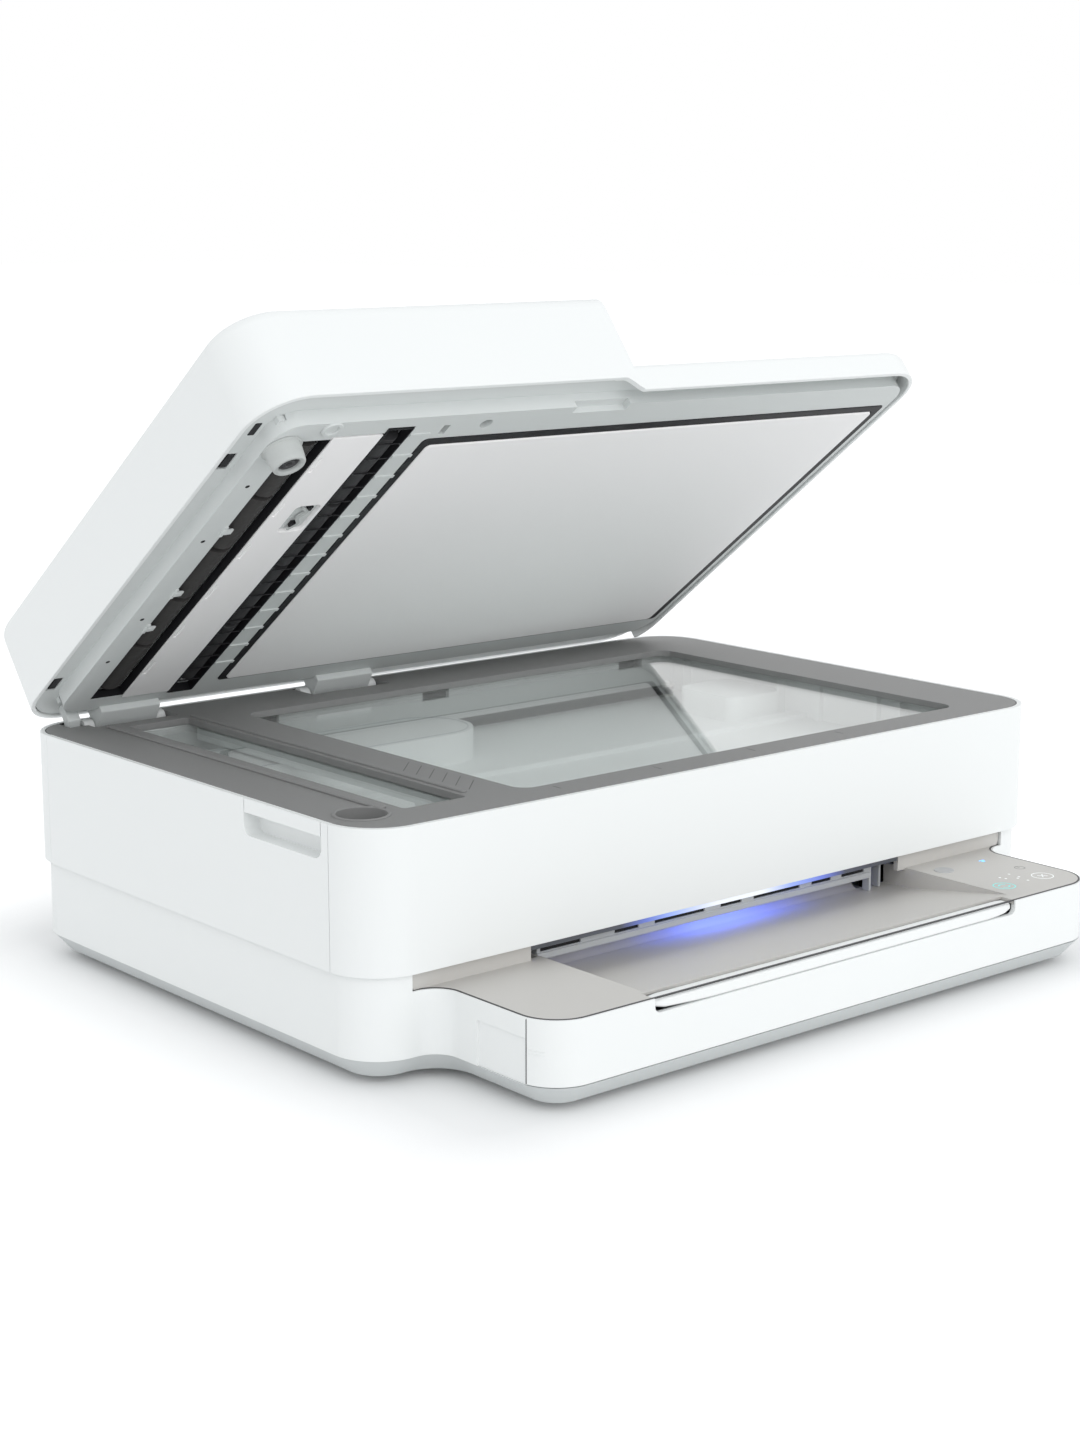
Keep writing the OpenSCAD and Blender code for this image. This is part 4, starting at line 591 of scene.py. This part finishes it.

# Output deck: a dark strip of painted shade in the seam along its rim, and the lip over which the sheets come
# down from the exit roller
deck = {
    "seamSection": [(0.88, 41.45), (0.88, 41.99), (1.75, 42.04), (1.75, 41.45)],
    "lipSection": [(16.5, 32.05), (18.4, 32.4), (21.4, 34.6), (23.6, 36.9), (24.2, 37.1), (24.8, 36.8),
                   (22.4, 33.8), (18.8, 30.9), (16.5, 30.5)],
}
half, neckX = casing["extHalf"], casing["extHalf"] + casing["neck"] + 1.5
leftEdge = [(-neckX, casing["baseInset"]), (-half, casing["baseInset"], casing["neck"]),
            (-half, casing["extFront"], casing["extCorner"])]
rightEdge = [(-corner[0],) + corner[1:] for corner in leftEdge[::-1]]
# The dark strip fills the seam's gap flush with the deck: painted shade
seam = bmesh.new()
sweepWall(seam, roundedPath(leftEdge + rightEdge, False, 4.0), deck["seamSection"])
piece("deckSeam", seam, casingSpace, "base", "dark_plastic", smoothAngle=30)
softened("output_deck", 0.3, "outputDeck")
lip = bmesh.new()
prism(lip, "x", rail["left"] + 0.2, rail["right"] - 0.2, deck["lipSection"])
piece("deckLip", lip, casingSpace, "base", "warm_grey_plastic", (), 0.2, smoothAngle=50)

# Extender: a grip bar that bellies forward in the middle, on a slotted sloping plate
grip = {"left": -117.4, "right": 111.4, "front": -69.6, "back": -62.4, "low": 35.5, "high": 41.2, "sag": 2.6,
        "stations": 49}
gripBody = bmesh.new()
loops = []
for k in range(grip["stations"]):
    t = k / (grip["stations"] - 1)
    x = grip["left"] + (grip["right"] - grip["left"]) * t
    u = 2 * t - 1  # -1 at the left end, 1 at the right end
    pull = 1 - math.sqrt(max(0.0, 1 - (1 - min(1.0, (1 - abs(u)) * 40)) ** 2))  # rounds both ends
    low = grip["low"] + grip["sag"] * max(0.0, (-x - 84) / 34, (x - 96) / 16) ** 1.5 * 0.6 + 0.5 * pull
    front = grip["front"] + 0.3 - 0.3 * (1 - u * u) + 1.0 * pull
    high = grip["high"] - 0.4 * pull
    section = [(front, low + 0.7), (front, high - 1.7), (front + 0.35, high - 0.9),
               (front + 1.1, high - 0.25),
               (front + 2.2, high), (grip["back"], high), (grip["back"], low), (front + 0.8, low)]
    loops.append([(x, y, z) for y, z in section])
loft(gripBody, loops)
piece("extenderGrip", gripBody, casingSpace, "extender", "white_casing", (), 0.35)

slide = {"place": (0, -61, 42), "slope": math.atan(10.0 / 61.0), "slots": (-60, 0, 60), "slotHalf": 16}
slideSpace = casingSpace @ Matrix.Translation(slide["place"]) @ Matrix.Rotation(-slide["slope"], 4, "X")
slideBody = bmesh.new()
slots = [roundedRect(x - slide["slotHalf"], 20, x + slide["slotHalf"], 26, 2.9) for x in slide["slots"]]
plate(slideBody, roundedRect(-100, -3, 96, 57, 3), slots, -3.9, -2.3, 0.3)
piece("extenderSlide", slideBody, slideSpace, "extender", "white_casing", ("tray_extender",))
softened("paper_tray", 0.35, "paperTray")

# Drawer's upright seam: a dark strip of painted shade in the gap, standing just proud of the surface, and
# small moulded ribs beside it
seamSide = {
    "shade": [(0.03, 13.6), (0.03, 41.0), (-0.3, 41.2), (-0.3, 13.4)],
    "shadeFront": -54.36, "shadeBack": -53.74,
    "ribHeights": (27.0, 28.6), "rib": [(-0.2, -0.3), (0.28, -0.22), (0.28, 0.22), (-0.2, 0.3)],
    "ribFront": -62.0, "ribBack": -54.6,
}


def alongCorner(y0, y1, step):
    # Points of the drawer's rounded corner between two depths
    corners = [(-half, -30), (-half, casing["extFront"], casing["extCorner"]), (0, casing["extFront"])]
    return [p for p in roundedPath(corners, False, step) if y0 < p[1] < y1]


ribs, shade = bmesh.new(), bmesh.new()
for mirror in (1, -1):
    for height in seamSide["ribHeights"]:
        loft(ribs, [[(mirror * (x - nx * d), y - ny * d, height + h) for d, h in seamSide["rib"]]
                    for x, y, nx, ny in alongCorner(seamSide["ribFront"], seamSide["ribBack"], 4)])
    loft(shade, [[(mirror * (x - nx * d), y - ny * d, z) for d, z in seamSide["shade"]]
                 for x, y, nx, ny in alongCorner(seamSide["shadeFront"], seamSide["shadeBack"], 0.5)])
piece("seamRibs", ribs, casingSpace, "drawer", "white_casing")
piece("seamShade", shade, casingSpace, "base", "dark_plastic")
print("drawer and deck ready")

# Control panel: one raised key and plain lit symbols, just above the deck's face
panel = {
    "face": 42.0, "lift": 0.06, "keyPlace": (128.6, -12.4), "copyPlace": (129.0, -50.0),
    "cancelPlace": (158.0, -50.0), "radioPlace": (157.6, -14.2), "infoPlace": (161.5, -33.1),
    "key": [(-0.3, 5.0), (0.25, 5.0), (0.45, 4.8), (0.45, 4.2), (0.2, 3.4)],
    "dots": [(139.2, -38.9), (147.7, -37.6), (147.7, -43.8), (140.0, -42.0), (145.1, -45.2), (145.9, -50.8)],
    "ringRadius": 5.6, "line": 0.55, "thinLine": 0.5,
}
low, high = panel["face"] - 0.3, panel["face"] + panel["lift"]


def arcPath(x, y, r, start=0.0, sweep=360.0, parts=48):
    # Points along an arc, with the normal towards its centre
    turns = [math.radians(start + sweep * k / parts) for k in range(parts if sweep == 360.0 else parts + 1)]
    return [(x + r * math.cos(a), y + r * math.sin(a), -math.cos(a), -math.sin(a)) for a in turns]


def ring(bm, x, y, r, width, start=0.0, sweep=360.0, parts=48):
    section = [(0, low), (0, high), (width, high), (width, low)]
    sweepWall(bm, arcPath(x, y, r, start, sweep, parts), section, sweep == 360.0)


def stroke(bm, x0, y0, x1, y1, width):
    way = Vector((x1 - x0, y1 - y0)).normalized() * (width / 2)
    nx, ny = -way.y, way.x
    prism(bm, "z", low, high,
          [(x0 + nx, y0 + ny), (x0 - nx, y0 - ny), (x1 - nx, y1 - ny), (x1 + nx, y1 + ny)])


key = bmesh.new()
turned(key, panel["keyPlace"], [(panel["face"] + z, r) for z, r in panel["key"]])
piece("panelKey", key, casingSpace, "base", "button_grey")

icons = {name: bmesh.new() for name in ("teal", "pale", "blue", "dim")}
x, y = panel["copyPlace"]
ring(icons["teal"], x, y, panel["ringRadius"], panel["line"])
for start in (30, 210):
    ring(icons["teal"], x, y, 2.9, panel["thinLine"], start, 130)
stroke(icons["teal"], x - 2.8, y + 1.4, x - 1.1, y + 1.4, panel["thinLine"])
stroke(icons["teal"], x + 1.1, y - 1.4, x + 2.8, y - 1.4, panel["thinLine"])
x, y = panel["cancelPlace"]
ring(icons["pale"], x, y, panel["ringRadius"], panel["line"])
stroke(icons["pale"], x - 1.8, y - 1.8, x + 1.8, y + 1.8, 0.6)
stroke(icons["pale"], x - 1.8, y + 1.8, x + 1.8, y - 1.8, 0.6)
for dot in panel["dots"]:
    turned(icons["pale"], dot, [(low, 0.65), (high, 0.65)], 16)
x, y = panel["radioPlace"]
turned(icons["blue"], (x, y + 1.0), [(low, 0.9), (high, 0.9)], 20)
for r in (2.0, 3.1):
    ring(icons["blue"], x, y, r, panel["thinLine"], 50, 80, 16)
x, y = panel["infoPlace"]
ring(icons["dim"], x, y, 2.8, panel["thinLine"])
stroke(icons["dim"], x, y, x, y + 2.9, panel["thinLine"])
iconLight = {"teal": ((0.22, 0.72, 0.70), 0.25), "pale": ((0.9, 0.92, 0.92), 0.15),
             "blue": ((0.15, 0.5, 0.95), 1.2), "dim": ((0.30, 0.30, 0.29), 0.0)}
for name, (tint, glow) in iconLight.items():
    shader = surface(name + "IconInk", tint, 0.4, 3000, 0.002)[2]
    shader.inputs["Emission Color"].default_value = tint + (1,)
    shader.inputs["Emission Strength"].default_value = glow
    piece(name + "Icon", icons[name], casingSpace, "base", "light_strip", look=name + "IconInk")
print("control panel ready")

# Casing, with rims rounded by these widths
rimWidths = {"front_panel": 0.9, "left_side_panel": 0.7, "right_side_panel": 0.7, "rear_panel": 0.9,
             "lower_casing": 0.5, "base_pan": 0.7, "scanner_bezel": 0.45, "scanner_tub": 0.5}
for node, width in rimWidths.items():
    softened(node, width)

# Painted shade: dark strips behind the casing's seams and in the gap round the bezel
seamShadeSizes = {"seams": (25.15, 257.85), "low": 51.0, "high": 111.5, "outer": 215.5, "inner": 214.2,
         "rim": [(2.45, 112.6), (2.45, 113.5), (3.15, 113.5), (3.15, 112.6)]}
seamShadeStrips = bmesh.new()
for x0, x1 in ((-seamShadeSizes["outer"], -seamShadeSizes["inner"]), (seamShadeSizes["inner"], seamShadeSizes["outer"])):
    for y in seamShadeSizes["seams"]:
        block(seamShadeStrips, x0, y - 0.35, seamShadeSizes["low"], x1, y + 0.35, seamShadeSizes["high"])
casingRim = roundedPath(
    rectCorners(-casing["halfWidth"], 0, casing["halfWidth"], casing["depth"], casing["corner"]))
sweepWall(seamShadeStrips, casingRim, seamShadeSizes["rim"], True)
piece("casingJoints", seamShadeStrips, casingSpace, "scanner", "dark_plastic", smoothAngle=30)
softened("scan_bar", 0.35, "scanBar", "lid_grey")

# Bezel: beads beside the feeder's window, the ring round the bumper's seat, alignment ticks, and a dark disc
# of painted shade down in the seat
bezel = {
    "rightBead": (-138.6, 33, -135.4, 253, 1.5), "leftBead": (-184.8, 32, -179.4, 256, 2.6),
    "seatRadius": 12.6,
    "seatSection": [(0, 113.7), (0, 114.1), (0.3, 114.45), (1.1, 114.45), (1.5, 114.1), (1.5, 113.7)],
    "tick": [(-132.0, 0), (-131.5, 0), (-118.8, 12.6), (-119.3, 12.6)],
    "tickStart": 37, "tickPitch": 9.5, "ticks": 6,
    "mark": -100, "markPitch": 60, "marks": 4, "inkLow": 113.78, "inkHigh": 113.83,
}
marks = bmesh.new()
plate(marks, roundedRect(*bezel["rightBead"]), [], 113.6, 114.7, 0.5)
plate(marks, roundedRect(*bezel["leftBead"]), [], 113.6, 115.0, 0.7)
sweepWall(marks, arcPath(*bumperPlace, bezel["seatRadius"], parts=64), bezel["seatSection"], True)
piece("bezelMarks", marks, casingSpace, "scanner", "bezel_grey")
ticks = bmesh.new()
for k in range(bezel["ticks"]):
    y = bezel["tickStart"] + bezel["tickPitch"] * k
    prism(ticks, "z", bezel["inkLow"], bezel["inkHigh"], [(px, y + py) for px, py in bezel["tick"]])
for k in range(bezel["marks"]):
    x = bezel["mark"] + bezel["markPitch"] * k
    block(ticks, x, 12.5, bezel["inkLow"], x + 0.4, 18, bezel["inkHigh"])
# A dark disc deep in the bumper's seat: painted shade in the hole
turned(ticks, bumperPlace, [(104.4, 7.4), (104.8, 7.4)], 40)
piece("bezelTicks", ticks, casingSpace, "scanner", "dark_plastic", smoothAngle=20)

# Flat panes; a smoothed pane would bend what lies behind it
for label, node in (("flatbedPane", "flatbed_glass"), ("feederPane", "feeder_glass")):
    (x0, y0, z0), (x1, y1, z1) = [[1000 * c for c in corner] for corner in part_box(node)]
    pane = bmesh.new()
    plate(pane, roundedRect(x0, y0 + midDepth, x1, y1 + midDepth, 1.0), [], z0, z1, 0.25)
    piece(label, pane, casingSpace, "scanner", "clear_glass", (node,), smoothAngle=20)

# What is seen through the glass: drive belt and its wheels, the housing's rim line, and the tub's ribs
scanDrive = {
    "belt": (-186, 236, 180, 243, 3), "beltSection": [(0, 86.2), (0, 90.0), (0.9, 90.0), (0.9, 86.2)],
    "wheels": [(-182.6, 239.5), (176.6, 239.5)],
    "wheel": [(84.3, 3.3), (90.6, 3.3), (90.6, 4.2), (91.2, 4.2), (91.2, 1.4), (92.6, 1.4)],
    "housing": [(-195.5, 178.5), (-30, 178.5), (-7.5, 178.5, 22.0), (-7.5, 223.5, 22.0), (-195.5, 223.5)],
    "housingSection": [(0, 99.9), (0, 100.25), (0.7, 100.25), (0.7, 99.9)],
    "ribLow": 84.3, "ribHigh": 104, "ribWidth": 1.6, "frontRibs": (-60, 20, 100), "sideRibs": (70, 160, 236),
}
belt, wheels, housingLine, tubRibs = (bmesh.new() for k in range(4))
sweepWall(belt, roundedPath(rectCorners(*scanDrive["belt"])), scanDrive["beltSection"], True)
piece("scanBelt", belt, casingSpace, "scanner", "belt_rubber")
for place in scanDrive["wheels"]:
    turned(wheels, place, scanDrive["wheel"], 28)
piece("scanWheels", wheels, casingSpace, "scanner", "gear_plastic", (), 0.15)
sweepWall(housingLine, roundedPath(scanDrive["housing"], False, 4.0), scanDrive["housingSection"])
piece("domeLine", housingLine, casingSpace, "scanner", "pale_grey_plastic")
for x in scanDrive["frontRibs"]:
    block(tubRibs, x, 14, scanDrive["ribLow"], x + scanDrive["ribWidth"], 20, scanDrive["ribHigh"])
for y in scanDrive["sideRibs"]:
    block(tubRibs, 186, y, scanDrive["ribLow"], 192.1, y + scanDrive["ribWidth"], scanDrive["ribHigh"])
piece("tubRibs", tubRibs, casingSpace, "scanner", "tub_plastic", (), 0.25)
print("scanner unit ready")

# Lid's underside; heights below are above the hinge's axis with the lid closed
for node, width in (
        ("lid_frame", 0.5), ("document_pad", 0.8), ("lid_hinge_arms", 0.7), ("pressure_plate", 0.35)):
    softened(node, width)

under = {
    "edgingOuter": (-118.3, 31.2, 182.8, 250.8, 2.6), "edgingInner": (-113.9, 36.2, 178.6, 250.1, 2.6),
    "springWire": [(-155.2, 83.4), (-150.8, 86.6, 2.2), (-154.6, 91.6, 2.4), (-150.9, 96.6, 2.4),
                   (-154.9, 101.2)],
    "springSection": [(-0.8, 4.2), (-0.8, 5.5), (0.8, 5.5), (0.8, 4.2)],
    "well": (-156.4, 81.8, -149.6, 102.6, 1.4),
    "rimSlots": [((-209.6, 21, -206.2, 30), 11.8, 12.3), ((-211.2, 44.8, -207.2, 55.2), 12.3, 12.9),
                 ((-211.2, 240.8, -207.2, 251.2), 12.3, 12.9)],
    "springShades": [(-152.2, 84.2), (-154.6, 97.4)],
    "holes": [(-197.6, 105), (-197.0, 174), (-197.0, 60), (-197.4, 214)],
    "coverSeam": [(2.42, 11.85), (2.42, 12.3), (3.0, 12.3), (3.0, 11.85)],
}
edging = bmesh.new()
plate(edging, roundedRect(*under["edgingOuter"]), [roundedRect(*under["edgingInner"])], 4.3, 5.8, 0.2)
piece("padEdging", edging, lidSpace, "lid", "black_plastic")
spring = bmesh.new()
sweepWall(spring, roundedPath(under["springWire"], False, 1.0), under["springSection"])
piece("plateSpring", spring, lidSpace, "lid", "pale_rubber", smoothAngle=40)
# Black plates in the rim's clip slots, spots at the spring's ends, discs in the frame's holes and a line
# along the cover's seam: all painted shade
shades = bmesh.new()
for rect, z0, z1 in under["rimSlots"]:
    plate(shades, roundedRect(*rect, 0.6), [], z0, z1, 0.15)
for x, y in under["springShades"]:
    block(shades, x - 0.2, y - 1.6, 4.45, x + 2.4, y + 1.8, 6.2)
for hole in under["holes"]:
    turned(shades, hole, [(4.56, 1.1), (4.9, 1.1)], 20)
coverEdge = [(-casing["halfWidth"], 150), (-casing["halfWidth"], 0, cover["leftRadius"]), (-70, 0)]
sweepWall(shades, roundedPath(coverEdge, False, 4.0), under["coverSeam"])
piece("frameShades", shades, lidSpace, "lid", "black_plastic", smoothAngle=30)
well = bmesh.new()
plate(well, roundedRect(*under["well"]), [], 6.1, 6.4, 0.1)
piece("springWell", well, lidSpace, "lid", "lid_grey")

# Rubber bumper with its screw, whose dark colour is painted shade in the bore; (height, radius) from the
# frame down, round the lip and up the bore
bumper = {
    "rubber": [(5.55, 4.9), (4.6, 4.9), (4.6, 9.1), (4.2, 9.4), (3.6, 8.4), (-3.2, 7.7), (-4.4, 7.4),
               (-4.9, 6.9), (-4.9, 5.9), (-4.4, 5.3), (-3.6, 5.0), (3.2, 4.8), (3.2, 3.2), (4.0, 3.0),
               (4.0, 1.0)],
    "screw": [(0.4, 4.75), (-3.0, 4.85), (-3.3, 4.5), (-2.2, 3.7), (-2.0, 3.2), (-3.6, 2.9), (-3.6, 1.5),
              (-2.4, 1.1)],
}
rubber, screw = bmesh.new(), bmesh.new()
turned(rubber, bumperPlace, bumper["rubber"], 56)
piece("lidBumper", rubber, lidSpace, "lid", "pale_rubber", ("lid_bumper",), smoothAngle=40)
turned(screw, bumperPlace, bumper["screw"], 36)
piece("bumperScrew", screw, lidSpace, "lid", "dark_plastic", smoothAngle=30)

# Black lattice under the exit roller, and a black lining on the walls of both roller openings, which is
# painted shade that keeps the openings dark
lattice = {
    "outer": (-144.2, 20.6, -129.8, 257.4, 0.8), "cell": (-143.4, 21.6, -130.6, 32.7),
    "pitch": 11.8, "cells": 20,
    "linings": [(-144.35, 20.1, -129.65, 257.9), (-189.95, 26.1, -171.65, 252.9)], "liningWall": 0.5,
}
latticeBody = bmesh.new()
x0, y0, x1, y1 = lattice["cell"]
rows = [lattice["pitch"] * k for k in range(lattice["cells"])]
cells = [roundedRect(x0, y0 + row, x1, y1 + row, 0.6) for row in rows]
plate(latticeBody, roundedRect(*lattice["outer"]), cells, 4.15, 4.65, 0.15)
for x0, y0, x1, y1 in lattice["linings"]:
    w = lattice["liningWall"]
    plate(latticeBody, roundedRect(x0, y0, x1, y1),
          [roundedRect(x0 + w, y0 + w, x1 - w, y1 - w)], 4.66, 9.1, 0.05)
piece("exitLattice", latticeBody, lidSpace, "lid", "black_plastic")

# Ring boss and latch levers beside the rollers
boss = {
    "place": (-176, 17.5), "ring": [(4.7, 5.0), (3.9, 5.0), (3.6, 4.7), (3.6, 3.4), (3.9, 3.1), (4.7, 3.1)],
    "levers": (96, 150, 182), "leverWidth": 3.2,
    "lever": [(-191.4, 5.0), (-191.4, 3.9), (-189.6, 3.5), (-186.4, 3.7), (-185.7, 4.4), (-186.4, 4.9)],
}
bosses = bmesh.new()
turned(bosses, boss["place"], boss["ring"], 36)
for y in boss["levers"]:
    prism(bosses, "y", y, y + boss["leverWidth"], boss["lever"])
    block(bosses, -191.2, y - 2.4, 4.0, -189.6, y + 5.6, 5.2)
piece("frameBosses", bosses, lidSpace, "lid", "lid_grey", (), 0.2)
print("lid's underside ready")

# Everything else keeps its CAD shape, with rims rounded
for node in nodes:
    if node not in dressed:
        softened(node, 0.25)
print("inner pieces ready")

# Floor, light and camera
studio = {
    "sky": 0.88, "skyTint": (0.965, 0.985, 1.0, 1),
    "sun": 0.60, "sunSpread": 50, "sunWay": (0.35, 0.8, -0.55),
    "fill": 2.6, "fillSize": (1.2, 0.9), "fillPlace": (0.5, -1.3, 0.25), "fillAim": (0, 0.05, 0.2),
    "floorTone": 0.90, "floorGlow": 0.34, "floorGlowNear": 0.02, "footprint": (0.19, 0.17, 0),
    "fadeStart": 0.015, "fadeEnd": 0.11,
}


def linked(name, data):
    obj = bpy.data.objects.new(name, data)
    bpy.context.scene.collection.objects.link(obj)
    return obj


def backdropMask(tree):
    # One where a ray from the camera, a reflection or a clear part meets the backdrop
    way = tree.nodes.new("ShaderNodeLightPath").outputs
    mirrored = mathNode(tree, "MAXIMUM", way["Is Glossy Ray"], way["Is Transmission Ray"])
    return mathNode(tree, "MAXIMUM", way["Is Camera Ray"], mirrored)


floorMesh = bmesh.new()
block(floorMesh, -9000, -6000, -6, 9000, 14000, 0)
studioFloor = newObject("studioFloor", floorMesh, toMetres)
floorFinish = bpy.data.materials.new("studioFloor")
floorFinish.use_nodes = True
floorTree = floorFinish.node_tree
floorShader = floorTree.nodes["Principled BSDF"]
floorShader.inputs["Base Color"].default_value = (studio["floorTone"],) * 3 + (1,)
floorShader.inputs["Roughness"].default_value = 0.9
floorShader.inputs["Specular IOR Level"].default_value = 0.0
floorShader.inputs["Emission Color"].default_value = (1, 1, 1, 1)
# The floor's own light grows with the distance from the printer's footprint, so the floor close round the
# printer holds a painted shadow on top of the cast one
away = floorTree.nodes.new("ShaderNodeTexCoord").outputs["Object"]
for kind, vector in (
        ("ABSOLUTE", None), ("SUBTRACT", studio["footprint"]), ("MAXIMUM", (0, 0, 0)), ("LENGTH", None)):
    vectorStep = floorTree.nodes.new("ShaderNodeVectorMath")
    vectorStep.operation = kind
    floorTree.links.new(away, vectorStep.inputs[0])
    if vector is not None:
        vectorStep.inputs[1].default_value = vector
    away = vectorStep.outputs["Value" if kind == "LENGTH" else "Vector"]
nearShadowFade = rangeNode(floorTree, away, studio["fadeStart"], studio["fadeEnd"], studio["floorGlowNear"],
                 studio["floorGlow"])
glow = mathNode(floorTree, "MULTIPLY", backdropMask(floorTree), nearShadowFade)
floorTree.links.new(glow, floorShader.inputs["Emission Strength"])
studioFloor.data.materials.append(floorFinish)

world = bpy.data.worlds.new("studio")
bpy.context.scene.world = world
world.use_nodes = True
worldTree = world.node_tree
worldTree.nodes.clear()
chosen = worldTree.nodes.new("ShaderNodeMixShader")
worldTree.links.new(backdropMask(worldTree), chosen.inputs[0])
for place, tint, strength in ((1, studio["skyTint"], studio["sky"]), (2, (1, 1, 1, 1), 1.0)):
    background = worldTree.nodes.new("ShaderNodeBackground")
    background.inputs[0].default_value = tint
    background.inputs[1].default_value = strength
    worldTree.links.new(background.outputs[0], chosen.inputs[place])
worldTree.links.new(chosen.outputs[0], worldTree.nodes.new("ShaderNodeOutputWorld").inputs[0])

sun = bpy.data.lights.new("softSun", "SUN")
sun.energy = studio["sun"]
sun.angle = math.radians(studio["sunSpread"])
linked("softSun", sun).rotation_euler = Vector(studio["sunWay"]).to_track_quat("-Z", "Y").to_euler()

fill = bpy.data.lights.new("fillLight", "AREA")
fill.shape = "RECTANGLE"
fill.size, fill.size_y = studio["fillSize"]
fill.energy = studio["fill"]
fillHolder = linked("fillLight", fill)
fillHolder.location = studio["fillPlace"]
fillHolder.rotation_euler = (
    Vector(studio["fillAim"]) - fillHolder.location).to_track_quat("-Z", "Y").to_euler()

# The camera's place is in metres from the casing's front face
view = {"place": (-0.794, -0.793683, 0.3624), "right": (0.7634, -0.6459, 0.0), "up": (0.1297, 0.1533, 0.9796),
        "ahead": (0.6328, 0.7478, -0.2008), "lens": 62.34}
camera = bpy.data.cameras.new("mainCamera")
camera.lens = view["lens"]
camera.sensor_width = 36.0
camera.sensor_fit = "AUTO"
shooter = linked("mainCamera", camera)
turn = Matrix((view["right"], view["up"], [-c for c in view["ahead"]])).transposed().to_4x4()
front = Matrix.Translation((0, -midDepth * 0.001, 0))
shooter.matrix_world = front @ Matrix.Translation(view["place"]) @ turn
bpy.context.scene.camera = shooter
bpy.context.scene.view_settings.view_transform = "Standard"
print("studio ready")
